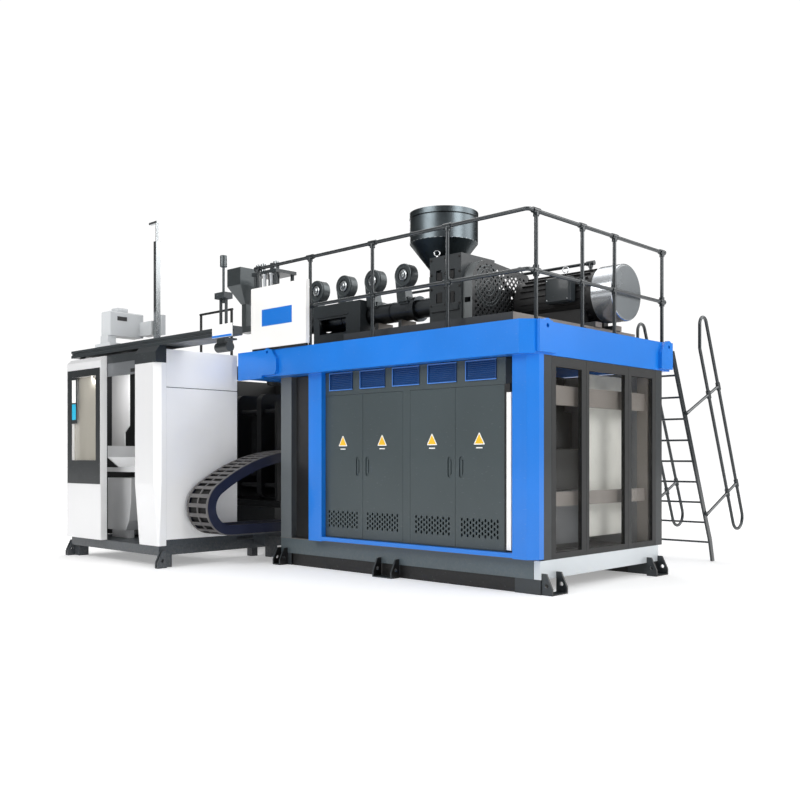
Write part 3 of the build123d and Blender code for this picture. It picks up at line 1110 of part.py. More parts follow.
# Carriage under the moulds, with end plates and tie bars, and the arm that carries the chain's end
with BuildPart() as carriage:
    block(CARRIAGE_X, CARRIAGE_Y, (CARRIAGE_Z[0], CARRIAGE_Z[1] - 90))
    for rail_y in (CARRIAGE_Y[0] + 100, CARRIAGE_Y[1] - 220):
        block(CARRIAGE_X, (rail_y, rail_y + 120), (CARRIAGE_Z[1] - 90, CARRIAGE_Z[1]))
    for runner in RUNNERS:
        shoe_y = (CARRIAGE_Y[0] + 80, CARRIAGE_Y[1] - 80)
        block((runner + 10, runner + 100), shoe_y, (RUNNER_TOP + WELD_GAP, CARRIAGE_Z[0]))
    arm_y = (CHAIN_UPPER_END - 60, CHAIN_UPPER_END)
    block((CARRIAGE_X[1], CHAIN_X[1]), arm_y, (600, 670))
    arm_top = rise_centre[1] + CHAIN_RISE - CHAIN_HEIGHT / 2 - WELD_GAP
    block((CHAIN_X[0] + 20, CHAIN_X[1] - 20), arm_y, (670, arm_top))
    for bar_y, bar_z in TIE_BARS:
        rod((CARRIAGE_X[0] + 120, bar_y, bar_z), (CARRIAGE_X[1] - 60, bar_y, bar_z), TIE_BAR_RADIUS)
    for end_x in (CARRIAGE_X[0] + 60, CARRIAGE_X[1] - 120):
        block((end_x, end_x + 60), PLATEN_Y, (CARRIAGE_Z[1], PLATEN_Z[1] - 130))


def platen(face_x, towards):
    """A rounded clamping plate with its mould half, clear of the tie bars that run through it."""
    with BuildPart() as plate:
        with BuildSketch(end_plane(face_x)):
            with Locations((sum(PLATEN_Y) / 2, sum(PLATEN_Z) / 2)):
                RectangleRounded(PLATEN_Y[1] - PLATEN_Y[0], PLATEN_Z[1] - PLATEN_Z[0], 120)
            with Locations(*TIE_BARS):
                Circle(TIE_BAR_RADIUS + 1, mode=Mode.SUBTRACT)
        extrude(amount=-towards * PLATEN_THICKNESS)
        with BuildSketch(end_plane(face_x)):
            with Locations((SCREW_Y, 1560)):
                Rectangle(520, 900)
        extrude(amount=towards * MOULD_DEPTH)
    return plate


platen_left = platen(PLATEN_FACES[0], 1)
platen_right = platen(PLATEN_FACES[1], -1)

# Energy chain: two side bands joined by outer and inner cross bars
with BuildPart() as energy_chain:
    for side_x in (CHAIN_X[0], CHAIN_X[1] - CHAIN_PLATE):
        with BuildSketch(end_plane(side_x)) as band:
            with BuildLine():
                Line(on_chain(0), on_chain(lower_run))
                for start, length in ((lower_run, bend_length), (rise_start, rise_length)):
                    ThreePointArc(*(on_chain(start + share * length) for share in (0, 0.5, 1)))
                Line(on_chain(upper_start), on_chain(chain_length))
            trace(line_width=CHAIN_HEIGHT)
        extrude(band.sketch, amount=CHAIN_PLATE)
    bar_places = []
    for link in range(link_count):
        link_y, link_z, tilt = chain_station((link + 0.5) * chain_length / link_count)
        for height in (CHAIN_HEIGHT / 2 - 8, 8 - CHAIN_HEIGHT / 2):
            place = Location(spot(sum(CHAIN_X) / 2, link_y, link_z), (tilt, 0, 0))
            bar_places.append(place * Location((0, 0, height)))
    with Locations(*bar_places):
        Box(CHAIN_X[1] - CHAIN_X[0] - 2 * CHAIN_PLATE, *CHAIN_BAR)

# Guide beam over the front of the clamping unit, with the blow pin's column on its right end
with BuildPart() as guide_beam:
    with BuildSketch(end_plane(GUIDE_X[0])):
        with BuildLine():
            Polyline(
                (GUIDE_Y[0], GUIDE_Z[0]), (GUIDE_Y[0], GUIDE_Z[0] + 34), (GUIDE_Y[0] + 14, GUIDE_Z[0] + 42),
                (GUIDE_Y[0] + 14, GUIDE_Z[0] + 62), (GUIDE_Y[0], GUIDE_Z[0] + 70), (GUIDE_Y[0], GUIDE_Z[1]),
                (GUIDE_Y[1], GUIDE_Z[1]), (GUIDE_Y[1], GUIDE_Z[0]), close=True,
            )
        make_face()
    extrude(amount=GUIDE_X[1] - GUIDE_X[0])
    block((-6800, -3700), (GUIDE_Y[1], GUIDE_Y[1] + 220), (GUIDE_Z[0], GUIDE_Z[0] + 20))
    block((-3860, -3700), (GUIDE_Y[1] + 40, GUIDE_Y[1] + 140), (GUIDE_Z[0] - 90, GUIDE_Z[0]))
    rod((-3900, GUIDE_Y[1] + 90, GUIDE_Z[0] - 90), (-3660, GUIDE_Y[1] + 90, GUIDE_Z[0] - 90), 60)
    pin_y = sum(GUIDE_Y) / 2
    block((PIN_X - 75, PIN_X + 75), (pin_y - 55, pin_y + 55), (GUIDE_Z[1], GUIDE_Z[1] + 30))
    for side in (-52, 52):
        rod((PIN_X + side, pin_y, GUIDE_Z[1] + 30), (PIN_X + side, pin_y, PIN_BLOCK_Z[0]), 18)
    block((PIN_X - 95, PIN_X + 95), (pin_y - 60, pin_y + 60), PIN_BLOCK_Z)
    rod((PIN_X, pin_y, PIN_BLOCK_Z[0]), (PIN_X, pin_y, PIN_BLOCK_Z[1]), PIN_RADIUS + 1, Mode.SUBTRACT)

with BuildPart() as guide_end:
    block((GUIDE_X[1] - 380, GUIDE_X[1]), (GUIDE_Y[0] - 12, GUIDE_Y[0] - WELD_GAP), (GUIDE_Z[0] - 20, GUIDE_Z[1] + 30))

with BuildPart() as pin_rod:
    rod((PIN_X, pin_y, GUIDE_Z[1] + 290), (PIN_X, pin_y, 3560), PIN_RADIUS)
    rod((PIN_X, pin_y, 3560), (PIN_X, pin_y, 3740), 42)
    chamfer(pin_rod.edges().sort_by(Axis.Z)[-1], 8)

# Transfer carriage on the guide beam, with its drive housing and the slide block for the mast
with BuildPart() as transfer_unit:
    block((-6420, -6020), (GUIDE_Y[0] - 10, GUIDE_Y[1] + 10), (GUIDE_Z[1] + WELD_GAP, GUIDE_Z[1] + 40))
    block((-6330, -6130), (GUIDE_Y[0] + 20, GUIDE_Y[1]), (GUIDE_Z[1] + 40, HOUSING_Z[0]))
    block(HOUSING_X, HOUSING_Y, HOUSING_Z)
    fillet(transfer_unit.edges().filter_by(Axis.Y).group_by(Axis.Z)[-1], 18)
    block((HOUSING_X[1], MAST_X - 45), (MAST_Y - 60, MAST_Y + 90), (3060, 3250))
    block((MAST_X - 45, MAST_X + 70), (MAST_Y + MAST_HALF[1] + WELD_GAP, MAST_Y + 90), (3060, 3330))

with BuildPart() as mast:
    block((MAST_X - MAST_HALF[0], MAST_X + MAST_HALF[0]), (MAST_Y - MAST_HALF[1], MAST_Y + MAST_HALF[1]), MAST_Z)
    rod((MAST_X, MAST_Y, MAST_Z[1]), (MAST_X, MAST_Y, MAST_TIP_Z), 20)
    block((MAST_X - 170, MAST_X + 26), (MAST_Y - 22, MAST_Y + 22), (MAST_TIP_Z, MAST_TIP_Z + 30))

# Hydraulic power unit on the floor behind the first glazed door
with BuildPart() as power_unit:
    block((-1250, -420), (700, 1500), (member_z[0], 900))
    for leg_x in (-1150.0, -640.0):
        for leg_y in (780.0, 1340.0):
            block((leg_x, leg_x + 80), (leg_y, leg_y + 80), (900, 1180))
    block((-1150, -560), (780, 1420), (1180, 1900))
    rod((-560, 1000, 1560), (-520, 1000, 1560), 180)
    rod((-520, 1000, 1560), (-490, 1000, 1560), 90)

pieces = {
    "base_frame": base_frame,
    "end_sill": end_sill,
    "skid_rails": skid_rails,
    "machine_feet": machine_feet,
    "floor_plates": floor_plates,
    "front_frame": front_frame,
    "top_beams": top_beams,
    "frame_members": frame_members,
    "cabinet_shell": cabinet_shell,
    "louvre_vents": louvre_vents,
    "guard_posts": guard_posts,
    "guard_rails": guard_rails,
    "sign_board": sign_board,
    "extruder_bed": extruder_bed,
    "barrel": barrel,
    "extruder_screw": extruder_screw,
    "heater_bands": heater_bands,
    "barrel_cover": barrel_cover,
    "blowers": blowers,
    "gearbox": gearbox,
    "hopper": hopper,
    "belt_guard": belt_guard,
    "large_pulley": large_pulley,
    "motor_pulley": motor_pulley,
    "drive_belt": drive_belt,
    "motor_body": motor_body,
    "motor_cowl": motor_cowl,
    "terminal_box": terminal_box,
    "eye_bolts": eye_bolts,
    "die_head": die_head,
    "regrind_hopper": regrind_hopper,
    "ladder": ladder,
    "ladder_handrails": ladder_handrails,
    "clamp_base": clamp_base,
    "clamp_frame": clamp_frame,
    "clamp_panels": clamp_panels,
    "safety_door": safety_door,
    "safety_frame": safety_frame,
    "safety_glass": safety_glass,
    "chute": chute,
    "carriage": carriage,
    "platen_left": platen_left,
    "platen_right": platen_right,
    "energy_chain": energy_chain,
    "guide_beam": guide_beam,
    "guide_end": guide_end,
    "transfer_unit": transfer_unit,
    "mast": mast,
    "pin_rod": pin_rod,
    "power_unit": power_unit,
}
for number, door in enumerate(cabinet_doors, 1):
    pieces[f"cabinet_door_{number}"] = door
for number, (leaf, pane) in enumerate(end_doors, 1):
    pieces[f"end_door_{number}"] = leaf
    pieces[f"end_glass_{number}"] = pane

os.makedirs("parts", exist_ok=True)
for label, piece in pieces.items():
    piece.part.label = label
    export_step(piece.part, f"parts/{label}.step")
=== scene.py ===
from math import cos, radians, sin

import bpy
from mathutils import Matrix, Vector


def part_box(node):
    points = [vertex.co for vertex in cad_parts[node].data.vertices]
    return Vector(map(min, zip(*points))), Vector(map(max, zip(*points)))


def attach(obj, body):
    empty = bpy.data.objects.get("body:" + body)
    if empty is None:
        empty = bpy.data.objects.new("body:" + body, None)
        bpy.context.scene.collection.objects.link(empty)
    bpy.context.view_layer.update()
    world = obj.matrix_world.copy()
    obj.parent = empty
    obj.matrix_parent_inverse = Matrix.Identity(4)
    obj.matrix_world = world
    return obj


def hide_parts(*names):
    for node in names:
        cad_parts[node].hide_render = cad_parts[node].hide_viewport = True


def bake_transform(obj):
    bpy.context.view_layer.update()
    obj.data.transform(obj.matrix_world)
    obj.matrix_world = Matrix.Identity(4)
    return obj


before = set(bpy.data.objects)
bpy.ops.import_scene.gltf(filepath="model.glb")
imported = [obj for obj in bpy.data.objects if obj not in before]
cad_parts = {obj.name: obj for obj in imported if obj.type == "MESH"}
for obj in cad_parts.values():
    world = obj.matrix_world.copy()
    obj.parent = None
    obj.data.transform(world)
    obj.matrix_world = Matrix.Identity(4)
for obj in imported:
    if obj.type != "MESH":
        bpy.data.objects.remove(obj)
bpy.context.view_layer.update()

# Places are counted in millimetres from the drive end plane and the base's front face, as on the
# machine's own drawing; Blender's metres come from spot().
END_X = 3.499
FRONT_Y = -1.7754


def spot(x, y, z=0.0):
    """A place of the machine in Blender's metres."""
    return Vector((END_X + x / 1000, FRONT_Y + y / 1000, z / 1000))


# Finishes


def linear(red, green, blue):
    """A colour as it looks on a screen, from 0 to 255, as the shader wants it."""
    channels = []
    for value in (red, green, blue):
        share = value / 255
        channels.append(share / 12.92 if share <= 0.04045 else ((share + 0.055) / 1.055) ** 2.4)
    return (*channels, 1.0)


class Board:
    """A node tree with short words for adding and wiring its nodes."""

    def __init__(self, tree):
        self.tree = tree

    def add(self, kind, settings=None, **inputs):
        """A new node with its settings and its inputs, whose names may hold an underscore for a space."""
        node = self.tree.nodes.new(kind)
        for key, value in (settings or {}).items():
            setattr(node, key, value)
        for key, value in inputs.items():
            self.feed(node, key.replace("_", " "), value)
        return node

    def feed(self, node, name, value):
        """Wires a socket into an input, or sets the input to a plain value."""
        socket = node.inputs[int(name)] if name.isdigit() else node.inputs[name]
        if isinstance(value, bpy.types.NodeSocket):
            self.tree.links.new(value, socket)
        else:
            socket.default_value = value

    def math(self, operation, first, second=None, third=None, clamp=False):
        """One step of arithmetic on sockets or numbers."""
        node = self.tree.nodes.new("ShaderNodeMath")
        node.operation = operation
        node.use_clamp = clamp
        for place, value in enumerate((first, second, third)):
            if value is not None:
                self.feed(node, str(place), value)
        return node.outputs[0]

    def blend(self, share, first, second):
        """The first colour where the share is 0, the second where it is 1."""
        node = self.tree.nodes.new("ShaderNodeMix")
        node.data_type = "RGBA"
        self.feed(node, "0", share)
        self.feed(node, "6", first)
        self.feed(node, "7", second)
        return node.outputs[2]

    def steps(self, value, low, high, out_low=0.0, out_high=1.0):
        """A soft step from one value to another between two limits."""
        node = self.tree.nodes.new("ShaderNodeMapRange")
        node.interpolation_type = "SMOOTHSTEP"
        for name, number in (("0", value), ("1", low), ("2", high), ("3", out_low), ("4", out_high)):
            self.feed(node, name, number)
        return node.outputs[0]

    def noise(self, vector, scale, detail, roughness):
        settings = {"Vector": vector, "Scale": scale, "Detail": detail, "Roughness": roughness}
        return self.add("ShaderNodeTexNoise", **settings).outputs["Fac"]

    def part(self, vector, axis):
        """One part of a place or a direction: X, Y or Z."""
        return self.add("ShaderNodeSeparateXYZ", Vector=vector).outputs[axis]

    def stretched(self, vector, scale):
        return self.add("ShaderNodeMapping", Vector=vector, Scale=scale).outputs["Vector"]


def effect(name, inputs, outputs):
    """A node group with its sockets, and the board to wire it on."""
    tree = bpy.data.node_groups.new(name, "ShaderNodeTree")
    for label, kind, default in inputs:
        socket = tree.interface.new_socket(label, in_out="INPUT", socket_type=kind)
        if default is not None:
            socket.default_value = default
    for label, kind in outputs:
        tree.interface.new_socket(label, in_out="OUTPUT", socket_type=kind)
    board = Board(tree)
    entry = tree.nodes.new("NodeGroupInput")
    leave = tree.nodes.new("NodeGroupOutput")
    return board, entry.outputs, leave


NUMBER = "NodeSocketFloat"
PLACE = "NodeSocketVector"

# Sprayed or powder coat: the fine ripple of the film, and a slow drift in its tone
coat, taken, given = effect(
    "coat_film",
    [("Vector", PLACE, None), ("Ripple", NUMBER, 220.0), ("Drift", NUMBER, 0.9)],
    [("Height", NUMBER), ("Tone", NUMBER)],
)
ripple = coat.noise(taken["Vector"], taken["Ripple"], 2.0, 0.5)
slow = coat.noise(taken["Vector"], taken["Drift"], 3.0, 0.5)
coat.feed(given, "Height", ripple)
coat.feed(given, "Tone", coat.steps(slow, 0.3, 0.7))

# Rolled or turned metal: long grain along one direction
rolled, taken, given = effect(
    "metal_grain",
    [("Vector", PLACE, None), ("Run", PLACE, (1.0, 1.0, 60.0)), ("Fineness", NUMBER, 8.0)],
    [("Height", NUMBER), ("Tone", NUMBER)],
)
run = rolled.add("ShaderNodeVectorMath", {"operation": "MULTIPLY"})
rolled.feed(run, "0", taken["Vector"])
rolled.feed(run, "1", taken["Run"])
lines = rolled.noise(run.outputs[0], taken["Fineness"], 6.0, 0.7)
rolled.feed(given, "Height", lines)
rolled.feed(given, "Tone", rolled.steps(lines, 0.25, 0.75))

# Handling: smudges, wiped patches and fine scratches, as a mask
touched, taken, given = effect(
    "handling",
    [("Vector", PLACE, None), ("Size", NUMBER, 3.0), ("Amount", NUMBER, 0.4)],
    [("Smudge", NUMBER), ("Scratch", NUMBER)],
)
patches = touched.steps(touched.noise(taken["Vector"], taken["Size"], 5.0, 0.62), 0.46, 0.72)
fine = touched.noise(touched.stretched(taken["Vector"], (3.0, 40.0, 9.0)), 6.0, 2.0, 0.4)
scratch = touched.steps(fine, 0.68, 0.72)
touched.feed(given, "Smudge", touched.math("MULTIPLY", patches, taken["Amount"]))
touched.feed(given, "Scratch", touched.math("MULTIPLY", scratch, taken["Amount"]))

# Dust: settles on upward faces and low down near the floor
dusty, taken, given = effect(
    "settled_dust",
    [("Vector", PLACE, None), ("Reach", NUMBER, 0.5), ("Amount", NUMBER, 0.3)],
    [("Mask", NUMBER)],
)
normal = dusty.add("ShaderNodeNewGeometry").outputs["Normal"]
up = dusty.steps(dusty.part(normal, "Z"), 0.45, 0.95)
near_floor = dusty.steps(dusty.part(taken["Vector"], "Z"), taken["Reach"], 0.0)
either = dusty.math("MAXIMUM", dusty.math("MULTIPLY", up, 0.8), near_floor)
speckle = dusty.steps(dusty.noise(taken["Vector"], 34.0, 6.0, 0.7), 0.35, 0.8)
settled = dusty.math("MULTIPLY", either, speckle)
dusty.feed(given, "Mask", dusty.math("MULTIPLY", settled, taken["Amount"], clamp=True))


def use(board, effect_name, **inputs):
    node = board.tree.nodes.new("ShaderNodeGroup")
    node.node_tree = bpy.data.node_groups[effect_name]
    for key, value in inputs.items():
        board.feed(node, key, value)
    return node.outputs


def blank_finish(name):
    """A new material with its shader, and the object coordinates for its patterns."""
    material = bpy.data.materials.new(name)
    material.use_nodes = True
    shader = material.node_tree.nodes["Principled BSDF"]
    board = Board(material.node_tree)
    vector = board.add("ShaderNodeTexCoord").outputs["Object"]
    return material, board, shader, vector


def relief(board, shader, height, strength, distance=0.001):
    bump = board.add("ShaderNodeBump", Height=height, Strength=strength, Distance=distance)
    board.feed(shader, "Normal", bump.outputs["Normal"])


def reopened(material):
    """The board, the shader and the present colour of a finish, to paint over parts of it."""
    shader = material.node_tree.nodes["Principled BSDF"]
    return Board(material.node_tree), shader, shader.inputs["Base Color"].links[0].from_socket


def shades(colour, share):
    """A colour made darker and lighter by the same share."""
    base = linear(*colour)[:3]
    darker = (*(channel * (1 - share) for channel in base), 1.0)
    lighter = (*(min(1.0, channel * (1 + share)) for channel in base), 1.0)
    return darker, lighter


DUST = linear(172, 166, 156)
SCRATCH = linear(190, 194, 198)


def painted(name, colour, rough=0.36, drift=0.07, dust=0.12, ripple=220.0, coat=0.25, metal=0.0, bump=0.10):
    """Sprayed sheet metal: film ripple, slow drift of tone, smudges, fine scratches and dust."""
    material, board, shader, vector = blank_finish(name)
    film = use(board, "coat_film", Vector=vector, Ripple=ripple)
    marks = use(board, "handling", Vector=vector, Size=2.6, Amount=0.5)
    settled = use(board, "settled_dust", Vector=vector, Amount=dust)
    tone = board.blend(film["Tone"], *shades(colour, drift))
    worn = board.blend(board.math("MULTIPLY", marks["Scratch"], 0.10), tone, SCRATCH)
    board.feed(shader, "Base Color", board.blend(settled["Mask"], worn, DUST))
    shine = board.math("MULTIPLY_ADD", marks["Smudge"], 0.16, rough)
    board.feed(shader, "Roughness", board.math("MULTIPLY_ADD", settled["Mask"], 0.3, shine, clamp=True))
    shader.inputs["Metallic"].default_value = metal
    shader.inputs["Coat Weight"].default_value = coat
    shader.inputs["Coat Roughness"].default_value = 0.12
    relief(board, shader, film["Height"], bump, 0.0006)
    return material


def bare_metal(name, colour, rough=0.3, run=(1.0, 1.0, 60.0), fineness=8.0, contrast=0.25, bump=0.12):
    """Rolled, turned or ground steel with its grain and wiped patches."""
    material, board, shader, vector = blank_finish(name)
    grain = use(board, "metal_grain", Vector=vector, Run=run, Fineness=fineness)
    marks = use(board, "handling", Vector=vector, Size=2.0, Amount=0.6)
    darker, lighter = shades(colour, contrast)
    tone = board.blend(grain["Tone"], darker, lighter)
    wiped = board.math("MULTIPLY", marks["Smudge"], 0.25)
    board.feed(shader, "Base Color", board.blend(wiped, tone, darker))
    shine = board.math("MULTIPLY_ADD", grain["Tone"], 0.14, rough - 0.07)
    board.feed(shader, "Roughness", board.math("MULTIPLY_ADD", marks["Smudge"], 0.18, shine, clamp=True))
    shader.inputs["Metallic"].default_value = 1.0
    relief(board, shader, grain["Height"], bump, 0.0008)
    return material


def tinted_glass(name, film, cover, rough=0.08):
    """Tinted safety glass: a smoky film with faint wipe marks, see-through by its share of cover."""
    material, board, shader, vector = blank_finish(name)
    marks = use(board, "handling", Vector=vector, Size=1.7, Amount=0.8)
    fog = board.noise(board.stretched(vector, (1.0, 1.0, 0.35)), 1.4, 3.0, 0.5)
    lighter = shades(film, 0.25)[1]
    board.feed(shader, "Base Color", board.blend(board.steps(fog, 0.35, 0.65), linear(*film), lighter))
    board.feed(shader, "Roughness", board.math("MULTIPLY_ADD", marks["Smudge"], 0.12, rough))
    board.feed(shader, "Alpha", board.math("MULTIPLY_ADD", marks["Smudge"], 0.06, cover, clamp=True))
    shader.inputs["Coat Weight"].default_value = 0.2
    shader.inputs["Coat Roughness"].default_value = 0.03
    relief(board, shader, fog, 0.02, 0.002)
    return material


def moulded(name, colour, rough=0.5, drift=0.15, bump=0.2, grain=160.0):
    """Moulded plastic or rubber: fine leathery texture, scuffs and dust."""
    material, board, shader, vector = blank_finish(name)
    film = use(board, "coat_film", Vector=vector, Ripple=grain, Drift=5.0)
    marks = use(board, "handling", Vector=vector, Size=6.0, Amount=0.7)
    settled = use(board, "settled_dust", Vector=vector, Amount=0.10)
    base = linear(*colour)
    lighter = tuple(min(1.0, channel * (1 + drift) + 0.002) for channel in base[:3]) + (1.0,)
    tone = board.blend(film["Tone"], base, lighter)
    board.feed(shader, "Base Color", board.blend(settled["Mask"], tone, DUST))
    board.feed(shader, "Roughness", board.math("MULTIPLY_ADD", marks["Smudge"], 0.2, rough, clamp=True))
    relief(board, shader, film["Height"], bump, 0.0008)
    return material


def two_sided_paint(name, face, rim, along, rough=0.4, rim_metal=0.1):
    """Paint in two tones by facing: faces that look along one axis take the first, all others the second;
    on the motor cowl and the feet the second tone is a painted highlight, on the clamp panels a painted
    shade.
    """
    material = painted(name, face, rough=rough, dust=0.04, bump=0.04)
    board, shader, tone = reopened(material)
    normal = board.add("ShaderNodeNewGeometry").outputs["Normal"]
    turned_away = board.steps(board.math("ABSOLUTE", board.part(normal, along)), 0.72, 0.62)
    board.feed(shader, "Base Color", board.blend(turned_away, tone, linear(*rim)))
    board.feed(shader, "Metallic", board.math("MULTIPLY_ADD", turned_away, rim_metal, 0.1))
    return material


def zoned_paint(name, first, along, zones):
    """Paint that changes tone along one axis: each zone is (where it starts in metres, colour)."""
    material = painted(name, first, rough=0.46, dust=0.05)
    board, shader, tone = reopened(material)
    reach = board.part(board.add("ShaderNodeTexCoord").outputs["Object"], along)
    for start, colour in zones:
        tone = board.blend(board.steps(reach, start - 0.005, start + 0.005), tone, linear(*colour))
    board.feed(shader, "Base Color", tone)
    return material


def drum_steel(name, drum, cone, shoulder, groove):
    """Spun steel drum with painted shade: a darker tone under the shoulder, and a near-black line for the
    shade in the rolled groove under its rim.
    """
    material = bare_metal(name, drum, rough=0.3, run=(1.5, 1.5, 120.0), contrast=0.18)
    board, shader, tone = reopened(material)
    up = board.part(board.add("ShaderNodeTexCoord").outputs["Object"], "Z")
    # Below the shoulder a darker tone, painted shade
    shaded = board.blend(board.steps(up, shoulder + 0.004, shoulder - 0.004), tone, linear(*cone))
    # A near-black line at the groove, painted shade in the crease
    line = board.steps(board.math("ABSOLUTE", board.math("SUBTRACT", up, groove)), 0.010, 0.006)
    painted_groove_shade = board.math("MULTIPLY", line, 0.8)
    board.feed(shader, "Base Color", board.blend(painted_groove_shade, shaded, (0.004, 0.005, 0.005, 1.0)))
    return material


BLUE = (8, 117, 214)
FINISH = {
    "blue": painted("blue_paint_finish", BLUE, rough=0.34, drift=0.05, dust=0.03, coat=0.3),
    "base_grey": painted("base_grey_finish", (74, 86, 91), rough=0.46, dust=0.12),
    "silver": painted("silver_finish", (206, 212, 216), rough=0.34, drift=0.04, dust=0.10, metal=0.2),
    "black": painted("black_finish", (14, 14, 15), rough=0.5, drift=0.2, dust=0.02, coat=0.1),
    "cabinet": painted(
        "cabinet_finish", (57, 68, 71), rough=0.46, drift=0.06, dust=0.05, ripple=420.0, bump=0.22,
    ),
    "louvre": painted("louvre_finish", (16, 62, 116), rough=0.38, dust=0.04),
    "end_frame": painted("end_frame_finish", (9, 11, 12), rough=0.55, dust=0.02, coat=0.08),
    "door_frame": painted("door_frame_finish", (24, 29, 32), rough=0.42, dust=0.06),
    "tube": painted("tube_finish", (44, 49, 52), rough=0.28, drift=0.15, dust=0.05, coat=0.5, metal=0.35),
    "white": painted("white_finish", (250, 249, 246), rough=0.32, drift=0.02, dust=0.03, coat=0.35),
    "dark": painted("machine_dark_finish", (40, 46, 49), rough=0.46, drift=0.15, dust=0.14),
    "light_grey": painted("light_grey_finish", (196, 199, 201), rough=0.4, dust=0.06),
    "blower": painted("blower_finish", (74, 80, 82), rough=0.38, drift=0.12, dust=0.12, metal=0.5),
    "guard_side": painted("guard_side_finish", (108, 111, 114), rough=0.4, dust=0.1, metal=0.3),
    "platform": painted("platform_finish", (104, 101, 98), rough=0.5, dust=0.2),
    # Hopper: a darker tone below the shoulder and a near-black groove line, both painted shade
    "hopper": drum_steel("hopper_steel_painted_shade", (98, 106, 110), (58, 66, 69), 4.080, 4.385),
    "guard": two_sided_paint("belt_guard_finish", (44, 46, 48), (118, 122, 123), "X", rim_metal=0.4),
    # Motor cowl: end faces in the first tone, the barrel in a bright metallic tone, a painted highlight
    "cowl": two_sided_paint(
        "motor_cowl_painted_highlight", (108, 113, 116), (206, 210, 214), "X", rough=0.22, rim_metal=0.8,
    ),
    # Clamp panels: faces along X white, all others a little darker, painted shade by side
    "clamp_white": two_sided_paint("clamp_panel_painted_side_light", (252, 252, 252), (232, 232, 233), "X", rough=0.32),
    "clamp_dark": painted("clamp_base_finish", (56, 62, 68), rough=0.42, dust=0.2),
    "bed": two_sided_paint("bed_finish", (132, 124, 116), (50, 52, 53), "X", rough=0.5),
    # Feet: sides along X black, the thin edges lighter grey, a painted highlight
    "feet": two_sided_paint("feet_painted_edge_highlight", (13, 13, 14), (52, 57, 60), "X"),
    "frame": zoned_paint("inner_frame_finish", (98, 104, 107), "X", (
        (END_X - 3.870, (14, 14, 15)), (END_X - 1.500, (134, 128, 122)), (END_X - 0.048, (24, 29, 32)),
    )),
    # Clamp frame: near black where it lies less than 1150 mm in front of the base, painted shade inside the
    # clamping unit
    "frame_with_inner_shade": zoned_paint("clamp_frame_inner_shade_finish", (36, 41, 44), "Y", ((FRONT_Y - 1.150, (8, 9, 10)),)),
    "inner_dark": painted("inner_dark_finish", (26, 28, 30), rough=0.38, dust=0.05, metal=0.4),
    "unit_cover": painted("unit_cover_finish", (22, 22, 20), rough=0.5, dust=0.05),
    "inner_light": painted("inner_panel_finish", (244, 244, 236), rough=0.5, dust=0.05),
    "chain_core": moulded("chain_core_finish", (8, 8, 9), rough=0.7),
    # Lighter blue for the strips round the louvres, a painted highlight
    "louvre_highlight": painted("louvre_highlight_finish", (74, 132, 214), rough=0.35, dust=0.02),
    "barrel": bare_metal("barrel_finish", (84, 88, 91), rough=0.3, run=(2.0, 60.0, 60.0), contrast=0.15),
    "bright": bare_metal(
        "bright_finish", (176, 180, 182), rough=0.26, run=(90.0, 90.0, 3.0), contrast=0.10, bump=0.04,
    ),
    "chrome": bare_metal("chrome_finish", (214, 216, 218), rough=0.12, contrast=0.05, bump=0.03),
    "chute": painted("chute_finish", (216, 217, 218), rough=0.42, dust=0.05, metal=0.2),
    "belt": moulded("belt_finish", (24, 24, 25), rough=0.7),
    "chain": moulded("chain_finish", (20, 25, 48), rough=0.4),
    "chain_bar": moulded("chain_bar_finish", (88, 86, 86), rough=0.48),
    "glass": tinted_glass("window_glass_finish", (62, 60, 56), 0.08),
    "door_glass": tinted_glass("safety_glass_finish", (166, 162, 152), 0.62),
    "amber": painted("amber_finish", (240, 190, 30), rough=0.4, dust=0.02),
    "cyan": painted("cyan_finish", (22, 176, 214), rough=0.4, dust=0.02),
}

NODE_FINISH = {
    "base_frame": "base_grey", "end_sill": "silver", "skid_rails": "black", "machine_feet": "feet",
    "floor_plates": "platform", "front_frame": "blue", "top_beams": "blue", "frame_members": "frame",
    "cabinet_shell": "cabinet", "louvre_vents": "louvre", "guard_posts": "tube", "guard_rails": "tube",
    "sign_board": "white", "extruder_bed": "bed", "barrel": "barrel", "extruder_screw": "bright",
    "heater_bands": "barrel", "barrel_cover": "dark", "blowers": "blower", "gearbox": "dark",
    "hopper": "hopper", "belt_guard": "guard", "large_pulley": "blower", "motor_pulley": "blower",
    "drive_belt": "belt", "motor_body": "black", "motor_cowl": "cowl", "terminal_box": "dark",
    "eye_bolts": "chrome", "die_head": "dark", "regrind_hopper": "blower", "ladder": "tube",
    "ladder_handrails": "tube", "clamp_base": "clamp_dark", "clamp_frame": "frame_with_inner_shade",
    "clamp_panels": "clamp_white", "safety_door": "clamp_white", "safety_frame": "door_frame",
    "safety_glass": "door_glass", "chute": "chute", "carriage": "inner_dark", "platen_left": "inner_dark",
    "platen_right": "inner_dark", "energy_chain": "chain", "guide_beam": "dark", "guide_end": "white",
    "transfer_unit": "light_grey", "mast": "bright", "pin_rod": "bright", "power_unit": "black",
    "cabinet_door_1": "cabinet", "cabinet_door_2": "cabinet", "cabinet_door_3": "cabinet",
    "cabinet_door_4": "cabinet", "end_door_1": "end_frame", "end_door_2": "end_frame",
    "end_door_3": "end_frame", "end_glass_1": "glass", "end_glass_2": "glass", "end_glass_3": "glass",
}
for node, finish in NODE_FINISH.items():
    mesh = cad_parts[node].data
    mesh.materials.clear()
    mesh.materials.append(FINISH[finish])


